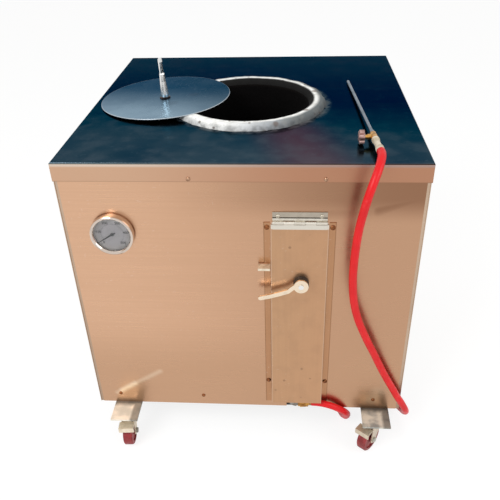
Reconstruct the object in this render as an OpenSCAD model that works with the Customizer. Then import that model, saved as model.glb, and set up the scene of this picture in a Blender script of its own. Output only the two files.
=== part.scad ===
// Square gas tandoor on casters: a clay pot in a steel case, with a flap door, a dial
// thermometer, a lift-off lid and a lighting wand on a hose.
// Millimetres, +Z up, +X to the right, -Y is the front. The floor is Z = 0.

/* [Case] */
// Width of the case over its top
body_w = 812; // [790:2:840]
// Depth of the case over its top
body_d = 812; // [800:2:840]
// Height of the case from its bottom edge to its top face
case_h = 714; // [700:2:740]
// Thickness of the case sheets
sheet_t = 1.5; // [1.2:0.1:2]
// Thickness of the top plate
top_t = 3; // [2.5:0.5:4]
// Height of the turned-down edge of the top
skirt_h = 44; // [36:1:50]
// Chamfer along the upper edge of the top
top_chamfer = 2; // [1:0.5:2.5]
// Side sheet that shows beside the front sheet
corner_show = 8; // [5:1:12]
// Width of the flange behind the front sheet
flange_w = 24; // [20:1:30]

/* [Frame] */
// Leg of the base angle iron
angle_leg = 40; // [36:1:44]
// Thickness of the base angle iron
angle_t = 4; // [3:0.5:5]
// Leg of the corner posts
post_leg = 30; // [26:1:34]
// Thickness of the corner posts
post_t = 3; // [2.5:0.5:4]
// Width of the two bars under the floor
bar_w = 50; // [40:2:60]
// Distance of the two bars from the middle
bar_x = 170; // [150:2:190]
// Thickness of the floor plate
floor_t = 3; // [2:0.5:4]

/* [Pot] */
// Place of the mouth in front of the middle
mouth_y = -35; // [-45:1:-25]
// Inner radius of the mouth
mouth_r = 155; // [148:1:160]
// Wall of the pot at the mouth
neck_wall = 17; // [14:1:20]
// Wall of the pot at its foot
foot_wall = 36; // [30:1:40]
// Outer radius of the pot at its belly
belly_r = 285; // [270:1:290]
// Outer radius of the pot at its foot
pot_foot_r = 235; // [220:1:245]
// Height of the belly above the foot
belly_z = 270; // [240:5:300]
// Height of the straight neck
neck_h = 60; // [50:1:80]
// Thickness of the pot floor
pot_floor = 35; // [30:1:40]
// Outer radius of the mouth ring
ring_r = 198; // [192:1:204]
// Height of the mouth ring
ring_h = 16; // [12:1:20]
// Clearance round the neck in the top plate
neck_gap = 0.8; // [0.5:0.1:1.5]

/* [Door] */
// Middle of the door from the middle of the case
door_x = 131.5; // [120:0.5:135]
// Width of the door
door_w = 128; // [120:1:132]
// Height of the door from its lower edge to the hinge axis
door_h = 532; // [510:1:534]
// Height of the hinge axis above the case bottom
hinge_z = 572; // [566:1:580]
// Thickness of the door sheet
door_t = 2; // [1.5:0.1:2.5]
// How far the door hangs open in front of the hose, in degrees
door_ajar = 2.7; // [2.4:0.1:3]
// Width of the strips beside the door
strip_w = 15; // [11:0.5:16]
// Thickness of the strips beside the door
strip_t = 2; // [1.5:0.1:2.5]
// Gap between the door and each strip
strip_gap = 1.5; // [1:0.1:2]
// Height of the fixed hinge leaf
leaf_h = 26; // [22:1:30]
// Thickness of the hinge leaves
leaf_t = 2; // [1.5:0.1:2.2]
// Radius of the hinge pin
pin_r = 1.5; // [1.2:0.1:1.8]
// Outer radius of the hinge knuckles
knuckle_r = 4; // [3.6:0.1:4.2]
// Depth of the valve space behind the door
space_d = 84; // [76:1:88]
// Width of the valve space behind the door
space_w = 112; // [100:1:116]

/* [Latch] */
// Height of the latch above the case bottom
latch_z = 416; // [390:1:430]
// Radius of the lever hub
hub_r = 17; // [15:0.5:19]
// Length of the lever from its axis
lever_l = 110; // [100:1:116]
// Hang of the lever below level, in degrees
lever_drop = 19.5; // [10:0.5:22]
// Width of the lever arm
arm_w = 10; // [9:0.5:11]
// Height of the keeper above the latch
keeper_rise = 45; // [44:1:50]
// Thickness of the flat lever arm
lever_t = 5; // [4:0.5:5.5]

/* [Thermometer] */
// Middle of the thermometer from the middle of the case
gauge_x = -291; // [-300:1:-270]
// Height of the thermometer above the case bottom
gauge_z = 541; // [520:1:560]
// Outer radius of the bezel
bezel_r = 50; // [46:0.5:54]
// Depth of the thermometer case
gauge_d = 12; // [10:1:14]
// Length of the stem behind the front sheet
stem_l = 100; // [60:5:110]

/* [Lid] */
// Radius of the lid
lid_r = 170; // [165:1:174]
// Thickness of the lid
lid_t = 3; // [2:0.5:4]
// Middle of the lid along X
lid_x = -222; // [-226:1:-216]
// Middle of the lid along Y
lid_y = -6; // [-20:1:10]
// Height of the lid handle
handle_h = 104; // [80:1:120]
// How far the handle stands in front of the middle of the lid
handle_off = 12; // [0:1:16]
// Height at which the lid lies on the worn edge of the mouth ring
lid_seat_h = 8; // [6:0.5:12]

/* [Wand] */
// Place of the wand valve along X
wand_x = 291; // [285:1:297]
// How far the wand valve lies behind the front edge of the top
wand_back = 104; // [100:1:108]
// Outer radius of the wand tube
tube_r = 4; // [3.5:0.1:4.5]
// Length of the wand tube from the valve axis
tube_l = 430; // [380:5:440]
// Radius of the star knob
knob_r = 16; // [14:0.5:17]

/* [Casters] */
// Height of a caster with its plate
caster_h = 103; // [101:0.5:106]
// Radius of a wheel
wheel_r = 37.5; // [35:0.5:38]
// Width of a wheel
wheel_w = 25; // [22:1:27]
// Distance of the wheel axle from the swivel axis
trail = 24; // [20:1:27]
// Length of a caster plate
plate_l = 95; // [90:1:100]
// Width of a caster plate
plate_w = 66; // [62:1:70]
// Thickness of a foot plate
foot_t = 5; // [4:0.5:6]
// Radius of an axle bolt
axle_r = 4; // [3.5:0.5:5]
// Place of the left casters
caster_left = -326; // [-340:1:-320]
// Place of the right casters
caster_right = 340; // [325:1:346]
// How far the caster axes stand in front of the case
caster_out = 14; // [10:1:16]
// Turn of the front left wheel, in degrees
turn_front_left = 4; // [-180:1:180]
// Turn of the front right wheel, in degrees
turn_front_right = -38; // [-180:1:180]
// Turn of the rear left wheel, in degrees
turn_rear_left = 160; // [-180:1:180]
// Turn of the rear right wheel, in degrees
turn_rear_right = 195; // [-180:1:200]

/* [Gas] */
// Outer radius of the gas pipe
pipe_r = 7; // [6:0.5:8]
// Outer diameter of the hose
hose_d = 18; // [16:0.5:18.5]
// Outer radius of the burner
burner_r = 95; // [80:1:110]

/* [Fits] */
// Gap between parts that move past each other
move_gap = 0.4; // [0.3:0.05:0.6]
// Radial gap of a pin in its bore
pin_gap = 0.06; // [0.05:0.01:0.1]
// Gap between soft or loose parts and their seats
seat_gap = 0.3; // [0.2:0.05:0.5]

/* [Hidden] */
$fn = 48;
cut = 1;

// Heights of the main levels
base_z = caster_h + foot_t;
top_z = base_z + case_h;
floor_z = base_z + angle_leg;
floor_top = floor_z + floor_t;
sheet_top = top_z - top_t;

// The sheets stand just inside the turned-down edge of the top
sheet_x = body_w / 2 - sheet_t - seat_gap;
sheet_y = body_d / 2 - sheet_t - seat_gap;
frame_x = sheet_x - sheet_t;
frame_y = sheet_y - 2 * sheet_t;

// The pot, measured from its foot
pot_h = top_z - floor_top;
neck_r = mouth_r + neck_wall;
pot_steps = 9;

// The door and its hinge axis
door_gap = move_gap;
hinge_y = -sheet_y - door_gap - door_t - leaf_t;
axis_z = base_z + hinge_z;
door_face = -sheet_y - door_gap - door_t;
door_left = door_x - door_w / 2;
door_right = door_x + door_w / 2;
leaf_side = 3.5;
leaf_w = door_w - 2 * leaf_side;
leaf_clear = knuckle_r + 1;
moving_leaf_h = 16;
pin_end = 1.5;
strip_foot = 20;

// The valve space behind the door, the notch under it and the way into the pot
space_below_hinge = 52;
space_sill = 60;
space_x0 = door_x - space_w / 2;
space_x1 = door_x + space_w / 2;
space_top = axis_z - space_below_hinge;
space_low = base_z + space_sill;
space_back = -sheet_y + sheet_t + space_d;
notch_inset = 38;
notch_h = 46;
notch_x0 = door_left + notch_inset;
notch_x1 = door_right + strip_gap;
throat_side = 9;
throat_sill = 62;
throat_h = 156;
throat_x0 = space_x0 + throat_side;
throat_x1 = space_x1 - throat_side;
throat_z0 = floor_top + throat_sill;
throat_z1 = throat_z0 + throat_h;
throat_end = mouth_y - 110;

// The latch on the door
hub_off = 5.5;
hub_x = door_x + hub_off;
hub_z = base_z + latch_z;
collar_t = 13;
collar_r = hub_r + 1;
hub_t = 6;
spindle_r = 4.5;
spindle_head_r = 6;
spindle_head_t = 2.5;
latch_nut_r = 8;
latch_nut_t = 5.6;
spindle_end = 2;
collar_y = door_face - collar_t;
hub_y = collar_y - move_gap - hub_t;
arm_y = hub_y + (hub_t - lever_t) / 2;
lip_t = 1.5;
lip_gap = 0.8;
lip_h = 6;
lip_out = 13;
keeper_h = 20;
keeper_roof = 2;
keeper_top = 2;

// The thermometer on the front sheet
gauge_cz = base_z + gauge_z;
gauge_front = -sheet_y - gauge_d;
gauge_r = bezel_r - 2;
gauge_wall = 2.5;
gauge_back = 4;
dial_r = gauge_r - gauge_wall - 0.1;
dial_t = 1;
dial_space = 1;
dial_depth = gauge_d - gauge_back - dial_t - dial_space;
glass_t = 2;
stem_r = 4.5;
stem_nut_r = 11;
stem_nut_t = 7;
needle_post_r = 2;
needle_back = 1.2;
needle_t = 0.8;
needle_boss_r = 4;

// The lid leans on the mouth ring
ring_edge = 6;
wear_gap = 2;
lid_reach = -(ring_r - ring_edge) - (lid_x - lid_r);
lid_tilt = atan((lid_seat_h + seat_gap) / lid_reach);
lid_z = top_z + lid_r * sin(lid_tilt) + seat_gap;

// The wand lies on its knob and its tip
valve_rise = knob_r + seat_gap;
wand_dip = asin((valve_rise - tube_r - seat_gap) / tube_l);
wand_y = wand_back - body_d / 2;
wand_yaw = 3.34;
valve_r = 7.5;
valve_front = 18;
valve_rear = 16;
ferrule_l = 14;
sleeve_r = 7;
sleeve_end = 82;
knob_in = 20.5;
knob_t = 13.5;
knob_stem_r = 2.5;
knob_stem_end = 27;

// The casters
caster_y = body_d / 2 + caster_out;
caster_spots = [
    [caster_left, -caster_y, turn_front_left],
    [caster_right, -caster_y, turn_front_right],
    [caster_left, caster_y, turn_rear_left],
    [caster_right, caster_y, turn_rear_right]
];
plate_t = 2.5;
race_r = 22;
race_h = 8;
crown_r = 25;
crown_t = 3.5;
kingpin_r = 5;
leg_t = 2.5;
leg_in = wheel_w / 2 + 2.5;
bolt_r = 4;
bolt_x = plate_w / 2 - 9;
bolt_y = plate_l / 2 - 10.5;
bolt_head_r = 6.5;
bolt_head_t = 4.5;
kingpin_head_r = 9;
kingpin_head_t = 4;
fork_back = 30;
fork_front = 20;
fork_foot = 11.2;
pedal_pivot = 25;
pedal_end = 60;
pedal_w = 40;
pedal_neck_w = 24;
pedal_t = 2.5;
pedal_lip_h = 15;
pedal_barrel_r = 3;
pedal_drop = 6;
race_z = caster_h - plate_t - race_h;
crown_z = race_z - move_gap - crown_t;

// The gas line
pipe_x = 118;
pipe_out = 4;
pipe_y = -sheet_y - pipe_out;
pipe_z = base_z + 16;
bead = 1.5;
inlet_out = 20;
inlet_nut_l = 14;
inlet_nut_r = pipe_r + 3;
tee_r = pipe_r + 2.5;
tee_l = 12;
pipe_turn = 14;
valve_in = 54.2;
riser_y = valve_in - sheet_y;
elbow_x = 148;
elbow_r = 9;
elbow_nut_back = 6;
barb_r = 7;

// The valve of the burner stands on the riser
gas_valve_z = floor_top + 50;
gas_valve_h = 60;
gas_valve_r = 12;
gas_valve_top = 6;
burner_z = gas_valve_z + 35;
gas_stem_r = 4;
gas_stem_l = 6;
gas_boss_r = 8;
gas_boss_l = 20;
gas_lever_l = 44;
gas_lever_w = 11;
gas_lever_t = 3;
gas_lever_boss_r = 9;

// The burner stands on the floor of the pot
burner_foot_z = floor_top + pot_floor;
burner_foot_t = 10;
burner_neck_r = 26;
burner_neck_h = 64;
burner_cone_h = 10;
burner_head_t = 14;
burner_dish = 10;
port_r = 4;
port_depth = 6;

// The hose from the wand, over the front edge, round behind the right wheel, to the elbow;
// each point's middle value is measured from the front edge of the top
hose_route = [
    [295.8, 21.4, 840.5], [296.5, 7.4, 840], [293.5, -12.4, 836.3], [288.1, -30.2, 827.8],
    [281.5, -44.6, 815], [274.6, -54.7, 798.7], [268.6, -59.9, 779.9], [264.2, -59.8, 760],
    [261.1, -56.7, 740.1], [256.2, -54.5, 708], [253, -53, 676], [251, -52, 643], [250, -51, 610],
    [250, -50, 576], [252, -48, 542], [256, -46, 507], [263, -43, 472],
    [273, -40, 437], [286, -37, 403], [300, -34, 369], [315, -31, 336],
    [329, -28, 303], [343, -25, 271], [358, -22, 239], [374, -19, 207],
    [390, -17.5, 175], [405, -14, 147], [418, -5.5, 117], [426, 12, 89],
    [428.5, 37, 62], [427, 68, 39], [419.5, 100, 22.5], [405.5, 130, 13],
    [385, 152, 10], [362, 163, 10], [339, 166, 10], [317, 163, 11],
    [296, 154, 12], [279, 140, 12], [267, 122, 11.5], [260.5, 102, 11.5],
    [259.5, 81, 13.5], [262.5, 62, 20], [267, 45, 30.5], [270, 30.5, 44],
    [271.5, 19, 60], [270, 9, 75.5], [265, 0.5, 89.5], [257, -5.5, 102],
    [246.5, -9.5, 112.5], [234, -11.5, 121.5], [219.5, -12, 128.5], [204, -10.8, 132.3],
    [188.5, -8.5, 132.9], [173, -5, 130]
];
hose_line = [for (p = hose_route) [p[0], p[1] - body_d / 2, p[2]]];
hose_sides = 10;

// Screws: places along the sides, and heights above the case bottom
low_screw_z = 31;
skirt_screw = 7;
high_screw_z = case_h - skirt_h + skirt_screw;
front_low = [-345, -118, 334];
front_high = [-108, 185];
other_low = [-340, -113, 113, 340];
other_high = [-300, 0, 300];
strip_screw_z = [96, hinge_z - 12];
strip_screw_x = [door_left - strip_gap - strip_w / 2, door_right + strip_gap + strip_w / 2];
screw_r = 2.4;
screw_hole_r = 2.6;
screw_head_r = 4.8;
strip_head_r = 6;
screw_l = 9;

// A round bar from one point to another
module rod(from, to, r) {
    run = to - from;
    long = norm(run);
    translate(from)
        rotate([0, acos(run[2] / long), atan2(run[1], run[0])])
            cylinder(h = long, r = r);
}

// A box from its low corner to its high corner
module block(low, high) {
    translate(low) cube(high - low);
}

// A flat bar with round ends, drawn in a plane
module bar2d(from, to, w) {
    run = to - from;
    translate(from) circle(d = w);
    translate(to) circle(d = w);
    translate(from)
        rotate(atan2(run[1], run[0]))
            translate([0, -w / 2]) square([norm(run), w]);
}

// Turns a drawing in X and Z, thickened towards the front, upright at the depth y
module upright(y, t) {
    translate([0, y + t, 0]) rotate([90, 0, 0]) linear_extrude(height = t) children();
}

// Puts children on one side of the case: +Z of the child points outwards
module on_side(turn, along, z) {
    out = (turn == 0 || turn == 180) ? sheet_y : sheet_x;
    rotate([0, 0, turn])
        translate([along, -out, base_z + z])
            rotate([90, 0, 0]) children();
}

// Every screw place on the low edge
module low_spots() {
    for (x = front_low) on_side(0, x, low_screw_z) children();
    for (turn = [90, 180, 270], x = other_low) on_side(turn, x, low_screw_z) children();
}

// Every screw place in the turned-down edge of the top
module high_spots() {
    for (x = front_high) on_side(0, x, high_screw_z) children();
    for (turn = [90, 180, 270], x = other_high) on_side(turn, x, high_screw_z) children();
}

// The four screw places of the strips
module strip_spots() {
    for (x = strip_screw_x, z = strip_screw_z) on_side(0, x, z) children();
}

// The four screw places of the fixed hinge leaf
module leaf_spots() {
    for (x = [-1, 1]) {
        on_side(0, door_x + x * leaf_w * 0.4, hinge_z + leaf_h * 0.62) children();
    }
}

module screw_hole() {
    translate([0, 0, -3 * screw_l]) cylinder(h = 5 * screw_l, r = screw_hole_r);
}

// Room for the point of a screw in the wool
module screw_pocket() {
    translate([0, 0, -screw_l - seat_gap]) cylinder(h = 2 * screw_l, r = 2 * screw_r);
}

// A screw whose head sits on a layer of the given thickness
module screw(layer, head = screw_head_r) {
    translate([0, 0, layer - screw_l]) cylinder(h = screw_l, r = screw_r);
    translate([0, 0, layer]) cylinder(h = 1.2, r = head);
    translate([0, 0, layer + 1.2]) cylinder(h = 1.4, r1 = head, r2 = head * 0.6);
}

// An upright angle iron with its corner at the origin
module post() {
    difference() {
        block([0, 0, floor_top], [post_leg, post_leg, sheet_top]);
        block([post_t, post_t, floor_top - cut], [post_leg + cut, post_leg + cut, sheet_top + cut]);
    }
}

module base_frame() {
    color("#5c5f5c")
    difference() {
        block([-frame_x, -frame_y, base_z], [frame_x, frame_y, floor_z]);
        difference() {
            block([angle_t - frame_x, angle_t - frame_y, base_z + angle_t],
                [frame_x - angle_t, frame_y - angle_t, floor_z + cut]);
            for (side = [-1, 1]) {
                translate([side * bar_x, 0, 0])
                    block([-bar_w / 2, -frame_y, floor_z - angle_t],
                        [bar_w / 2, frame_y, floor_z]);
            }
        }
        block([angle_leg - frame_x, angle_leg - frame_y, base_z - cut],
            [frame_x - angle_leg, frame_y - angle_leg, base_z + angle_t + cut]);
        block([pipe_x - 2 * pipe_r, -frame_y - cut, base_z + angle_t],
            [notch_x1 + angle_t, angle_t - frame_y, floor_z - angle_t]);
        rod([pipe_x, frame_y - 2 * angle_t, pipe_z], [pipe_x, frame_y + cut, pipe_z], pipe_r + move_gap);
        low_spots() screw_hole();
    }
}

module corner_posts() {
    color("#6a6d6a")
    for (sx = [0, 1], sy = [0, 1]) {
        mirror([sx, 0, 0]) mirror([0, sy, 0])
            translate([-frame_x, -frame_y, 0]) post();
    }
}

module floor_plate() {
    color("#74777a")
    difference() {
        block([-frame_x, -frame_y, floor_z], [frame_x, frame_y, floor_top]);
        rod([pipe_x, riser_y, floor_z - cut], [pipe_x, riser_y, floor_top + cut], pipe_r + move_gap);
    }
}

module front_panel() {
    half = sheet_x - corner_show;
    color("#cfa583")
    difference() {
        block([-half, -sheet_y, base_z], [half, -sheet_y + sheet_t, sheet_top]);
        block([space_x0, -sheet_y - cut, space_low], [space_x1, -sheet_y + sheet_t + cut, space_top]);
        block([notch_x0, -sheet_y - cut, base_z - cut],
            [notch_x1, -sheet_y + sheet_t + cut, base_z + notch_h]);
        translate([gauge_x, 0, gauge_cz])
            rod([0, -sheet_y - cut, 0], [0, -sheet_y + sheet_t + cut, 0], stem_r + move_gap);
        low_spots() screw_hole();
        high_spots() screw_hole();
        strip_spots() screw_hole();
        leaf_spots() screw_hole();
    }
}

// One side sheet with its flanges behind the front and rear sheets, drawn on the left
module side_sheet() {
    block([-sheet_x, -sheet_y, base_z], [-frame_x, sheet_y, sheet_top]);
    for (end = [0, 1]) {
        mirror([0, end, 0]) {
            block([-sheet_x, -sheet_y + sheet_t, base_z], [flange_w - sheet_x, -frame_y, sheet_top]);
        }
    }
}

module left_panel() {
    color("#c39a78")
    difference() {
        side_sheet();
        low_spots() screw_hole();
        high_spots() screw_hole();
    }
}

module right_panel() {
    color("#b08a6c")
    difference() {
        mirror([1, 0, 0]) side_sheet();
        low_spots() screw_hole();
        high_spots() screw_hole();
    }
}

module rear_panel() {
    half = sheet_x - corner_show;
    color("#b8927a")
    difference() {
        block([-half, sheet_y - sheet_t, base_z], [half, sheet_y, sheet_top]);
        rod([pipe_x, sheet_y - sheet_t - cut, pipe_z], [pipe_x, sheet_y + cut, pipe_z], pipe_r + move_gap);
        low_spots() screw_hole();
        high_spots() screw_hole();
    }
}

module top_cover() {
    color("#1d3550")
    difference() {
        union() {
            hull() {
                block([-body_w / 2, -body_d / 2, sheet_top], [body_w / 2, body_d / 2, top_z - top_chamfer]);
                block([top_chamfer - body_w / 2, top_chamfer - body_d / 2, sheet_top],
                    [body_w / 2 - top_chamfer, body_d / 2 - top_chamfer, top_z]);
            }
            difference() {
                block([-body_w / 2, -body_d / 2, top_z - skirt_h], [body_w / 2, body_d / 2, sheet_top]);
                block([sheet_t - body_w / 2, sheet_t - body_d / 2, top_z - skirt_h - cut],
                    [body_w / 2 - sheet_t, body_d / 2 - sheet_t, sheet_top]);
            }
        }
        translate([0, mouth_y, top_z - 2 * top_t]) cylinder(h = 3 * top_t, r = neck_r + neck_gap);
        high_spots() screw_hole();
    }
}

// Outer radius of the pot at a height above its foot
function pot_out(z) =
    z < belly_z ? pot_foot_r + (belly_r - pot_foot_r) * sin(90 * z / belly_z)
    : z < pot_h - neck_h
    ? neck_r + (belly_r - neck_r) * (1 + cos(180 * (z - belly_z) / (pot_h - neck_h - belly_z))) / 2
    : neck_r;

// Inner radius of the pot at a height above its foot
function pot_in(z) = pot_out(z) - foot_wall + (foot_wall - neck_wall) * min(1, z / (pot_h - neck_h));

// Heights at which the pot's outline bends
pot_levels = [
    for (i = [0 : pot_steps]) belly_z * i / pot_steps,
    for (i = [1 : pot_steps]) belly_z + (pot_h - neck_h - belly_z) * i / pot_steps,
    pot_h
];

module pot_outside(grow) {
    translate([0, mouth_y, floor_top])
        rotate_extrude($fn = 96)
            polygon(concat([[0, 0]], [for (z = pot_levels) [pot_out(z) + grow, z]], [[0, pot_h]]));
}

module clay_pot() {
    hollow = [for (z = pot_levels) if (z > pot_floor) z];
    color("#b0714a")
    difference() {
        pot_outside(0);
        translate([0, mouth_y, floor_top])
            rotate_extrude($fn = 96)
                polygon(concat([[0, pot_floor], [pot_in(pot_floor), pot_floor]],
                    [for (z = hollow) [pot_in(z), z]], [[mouth_r, pot_h + cut], [0, pot_h + cut]]));
        block([throat_x0, space_back - cut, throat_z0], [throat_x1, throat_end, throat_z1]);
    }
}

// The cement ring, worn down where the lid lies on it
module mouth_ring() {
    color("#cfc9bd")
    difference() {
        translate([0, mouth_y, top_z])
            rotate_extrude($fn = 96)
                polygon([
                    [mouth_r, 0], [mouth_r, ring_h - 3], [mouth_r + 3, ring_h], [ring_r - ring_edge, ring_h],
                    [ring_r - 2, ring_h - 4], [ring_r, ring_h - 9], [ring_r, 0]
                ]);
        lid_pose() translate([0, 0, -seat_gap]) cylinder(h = 2 * ring_h, r = lid_r + wear_gap, $fn = 120);
    }
}

module insulation() {
    color("#d9d3c3")
    difference() {
        block([-frame_x, -frame_y, floor_top], [frame_x, frame_y, sheet_top - seat_gap]);
        for (sx = [0, 1], sy = [0, 1]) {
            mirror([sx, 0, 0]) mirror([0, sy, 0])
                block([-frame_x - cut, -frame_y - cut, floor_top - cut],
                    [post_leg + seat_gap - frame_x, post_leg + seat_gap - frame_y, sheet_top]);
        }
        pot_outside(seat_gap);
        block([space_x0 - sheet_t - seat_gap, -frame_y - cut, floor_top - cut],
            [space_x1 + sheet_t + seat_gap, space_back + sheet_t + seat_gap, space_top + sheet_t + seat_gap]);
        block([throat_x0 - sheet_t - seat_gap, space_back, throat_z0 - sheet_t - seat_gap],
            [throat_x1 + sheet_t + seat_gap, throat_end, throat_z1 + sheet_t + seat_gap]);
        rod([gauge_x, -frame_y - cut, gauge_cz], [gauge_x, stem_l - sheet_y + seat_gap, gauge_cz],
            stem_r + seat_gap);
        rod([gauge_x, -frame_y - cut, gauge_cz],
            [gauge_x, stem_nut_t + 2 * sheet_t - sheet_y + seat_gap, gauge_cz], stem_nut_r + seat_gap);
        high_spots() screw_pocket();
        strip_spots() screw_pocket();
        leaf_spots() screw_pocket();
    }
}

module door_box() {
    color("#8c8f90")
    difference() {
        block([space_x0 - sheet_t, -sheet_y + sheet_t, floor_top],
            [space_x1 + sheet_t, space_back + sheet_t, space_top + sheet_t]);
        block([space_x0, -sheet_y, floor_top + sheet_t], [space_x1, space_back, space_top]);
        block([throat_x0, space_back - cut, throat_z0],
            [throat_x1, space_back + sheet_t + cut, throat_z1]);
        rod([pipe_x, riser_y, floor_top - cut], [pipe_x, riser_y, floor_top + 2 * sheet_t],
            pipe_r + move_gap);
        pot_outside(seat_gap);
    }
}

// The sheet duct from the box to the pot
module throat_duct() {
    color("#7e8182")
    difference() {
        block([throat_x0 - sheet_t, space_back + sheet_t, throat_z0 - sheet_t],
            [throat_x1 + sheet_t, throat_end, throat_z1 + sheet_t]);
        block([throat_x0, space_back, throat_z0], [throat_x1, mouth_y, throat_z1]);
        pot_outside(seat_gap);
    }
}

module burner() {
    neck_top = burner_neck_h + burner_cone_h;
    color("#2f2f31")
    translate([0, mouth_y, burner_foot_z])
    difference() {
        union() {
            cylinder(h = burner_foot_t, r = 2 * burner_neck_r);
            cylinder(h = neck_top, r = burner_neck_r);
            translate([0, 0, burner_neck_h])
                cylinder(h = burner_cone_h, r1 = burner_neck_r + 4, r2 = burner_r);
            translate([0, 0, neck_top]) cylinder(h = burner_head_t, r = burner_r);
        }
        translate([0, 0, neck_top + burner_head_t - burner_dish])
            cylinder(h = burner_dish + cut, r = 0.3 * burner_r);
        for (turn = [0 : 20 : 340]) {
            rotate(turn) burner_port(0.45 * burner_r);
            rotate(turn + 10) burner_port(0.8 * burner_r);
        }
    }
}

// A blind flame port in the top of the burner
module burner_port(out) {
    top = burner_neck_h + burner_cone_h + burner_head_t;
    translate([out, 0, top - port_depth]) cylinder(h = port_depth + cut, r = port_r, $fn = 24);
}

module burner_pipe() {
    corner = [pipe_x, mouth_y, burner_z];
    color("#7d8083") {
        rod([pipe_x, riser_y + gas_valve_r, burner_z], corner, pipe_r);
        rod(corner, [burner_neck_r, mouth_y, burner_z], pipe_r);
        translate(corner) sphere(r = pipe_r + bead);
    }
}

module burner_valve() {
    top = gas_valve_z + gas_valve_h;
    boss_y = riser_y - gas_boss_l;
    color("#b98c3c")
    union() {
        translate([pipe_x, riser_y, gas_valve_z]) cylinder(h = gas_valve_h, r = gas_valve_r);
        translate([pipe_x, riser_y, top])
            cylinder(h = gas_valve_top, r1 = gas_valve_r, r2 = gas_boss_r);
        rod([pipe_x, boss_y, burner_z], [pipe_x, riser_y, burner_z], gas_boss_r);
        rod([pipe_x, boss_y - gas_stem_l, burner_z], [pipe_x, boss_y, burner_z], gas_stem_r);
    }
}

module valve_lever() {
    stem_end = riser_y - gas_boss_l - gas_stem_l;
    front = stem_end - move_gap - gas_lever_t;
    color("#b02a28")
    difference() {
        union() {
            upright(front, 2 * gas_lever_t) translate([pipe_x, burner_z]) circle(r = gas_lever_boss_r);
            upright(front, gas_lever_t)
                translate([pipe_x, burner_z]) bar2d([0, 0], [0, gas_lever_l], gas_lever_w);
        }
        rod([pipe_x, stem_end - move_gap, burner_z], [pipe_x, riser_y, burner_z], gas_stem_r + pin_gap);
    }
}

module gas_pipe() {
    inlet_y = sheet_y + inlet_out;
    turn_x = pipe_x + pipe_turn;
    turn_y = pipe_y + pipe_turn;
    color("#8b8e92")
    union() {
        rod([pipe_x, inlet_y, pipe_z], [pipe_x, turn_y - bead, pipe_z], pipe_r);
        translate([turn_x, turn_y, pipe_z])
            rotate([0, 0, 180])
                rotate_extrude(angle = 90)
                    translate([pipe_turn, 0]) circle(r = pipe_r + bead);
        rod([turn_x - bead, pipe_y, pipe_z], [elbow_x - tee_l, pipe_y, pipe_z], pipe_r);
        rod([pipe_x, riser_y, pipe_z], [pipe_x, riser_y, gas_valve_z], pipe_r);
        rod([pipe_x, inlet_y, pipe_z], [pipe_x, inlet_y + inlet_nut_l, pipe_z], inlet_nut_r);
        rod([pipe_x - tee_l, riser_y, pipe_z], [pipe_x + tee_l, riser_y, pipe_z], tee_r);
    }
}

// The brass elbow under the door points out of the notch, along the end of the hose
module hose_elbow() {
    body = [elbow_x, pipe_y, pipe_z];
    last = hose_line[len(hose_line) - 1];
    run = last - body;
    along = run / norm(run);
    color("#c79a3e")
    union() {
        rod([elbow_x - tee_l, pipe_y, pipe_z], body, elbow_r);
        rod(body - along * elbow_nut_back, body + run * 0.55, elbow_r + bead);
        rod(body, last - along * seat_gap, barb_r);
    }
}

module gauge_case() {
    color("#c9ccd0")
    translate([gauge_x, 0, gauge_cz])
    difference() {
        rod([0, -sheet_y, 0], [0, gauge_front, 0], gauge_r);
        rod([0, -sheet_y - gauge_back, 0], [0, gauge_front - cut, 0], gauge_r - gauge_wall);
        rod([0, cut - sheet_y, 0], [0, -sheet_y - gauge_back - cut, 0], stem_r + pin_gap);
    }
}

module gauge_bezel() {
    lip = bezel_r - gauge_r - 0.1;
    color("#dfe2e4")
    translate([gauge_x, gauge_front, gauge_cz])
        rotate([90, 0, 0])
            rotate_extrude($fn = 72)
                polygon([
                    [bezel_r - 8, 0], [bezel_r - 8, 2], [bezel_r - 6, 5], [bezel_r - 3, 6],
                    [bezel_r - 0.8, 4.6], [bezel_r, 2], [bezel_r, -7], [bezel_r - lip, -7],
                    [bezel_r - lip, 0]
                ]);
}

module gauge_dial() {
    back = gauge_front + dial_depth + dial_t;
    color("#dcdedb")
    translate([gauge_x, 0, gauge_cz])
    difference() {
        rod([0, back, 0], [0, back - dial_t, 0], dial_r);
        rod([0, back + cut, 0], [0, back - dial_t - cut, 0], needle_post_r + move_gap);
    }
}

module gauge_glass() {
    color("#cfe0e6", 0.5)
    translate([gauge_x, 0, gauge_cz])
        rod([0, gauge_front + glass_t, 0], [0, gauge_front, 0], dial_r);
}

module gauge_stem() {
    color("#a9adb1")
    translate([gauge_x, 0, gauge_cz]) {
        rod([0, stem_l - sheet_y, 0], [0, -sheet_y - gauge_back, 0], stem_r);
        rod([0, -sheet_y - gauge_back, 0], [0, gauge_front + glass_t + needle_back, 0], needle_post_r);
        rod([0, sheet_t - sheet_y, 0], [0, sheet_t + stem_nut_t - sheet_y, 0], stem_nut_r);
    }
}

module gauge_needle() {
    front = gauge_front + glass_t + move_gap;
    tip = [-0.62, -0.38] * bezel_r;
    color("#1c1c1e")
    translate([gauge_x, 0, gauge_cz])
    difference() {
        union() {
            rod([0, front + 2 * needle_t, 0], [0, front, 0], needle_boss_r);
            upright(front + needle_t / 2, needle_t)
                polygon([[1.6, 2.8], [2.8, 1.4], tip, [-9, -3.2]]);
        }
        rod([0, front + needle_t, 0], [0, front + 2 * needle_t + cut, 0], needle_post_r + pin_gap);
    }
}

module side_strips() {
    color("#b89270")
    difference() {
        for (x = [door_left - strip_gap - strip_w, door_right + strip_gap]) {
            block([x, -sheet_y - strip_t, base_z + strip_foot], [x + strip_w, -sheet_y, axis_z]);
        }
        strip_spots() screw_hole();
    }
}

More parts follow.
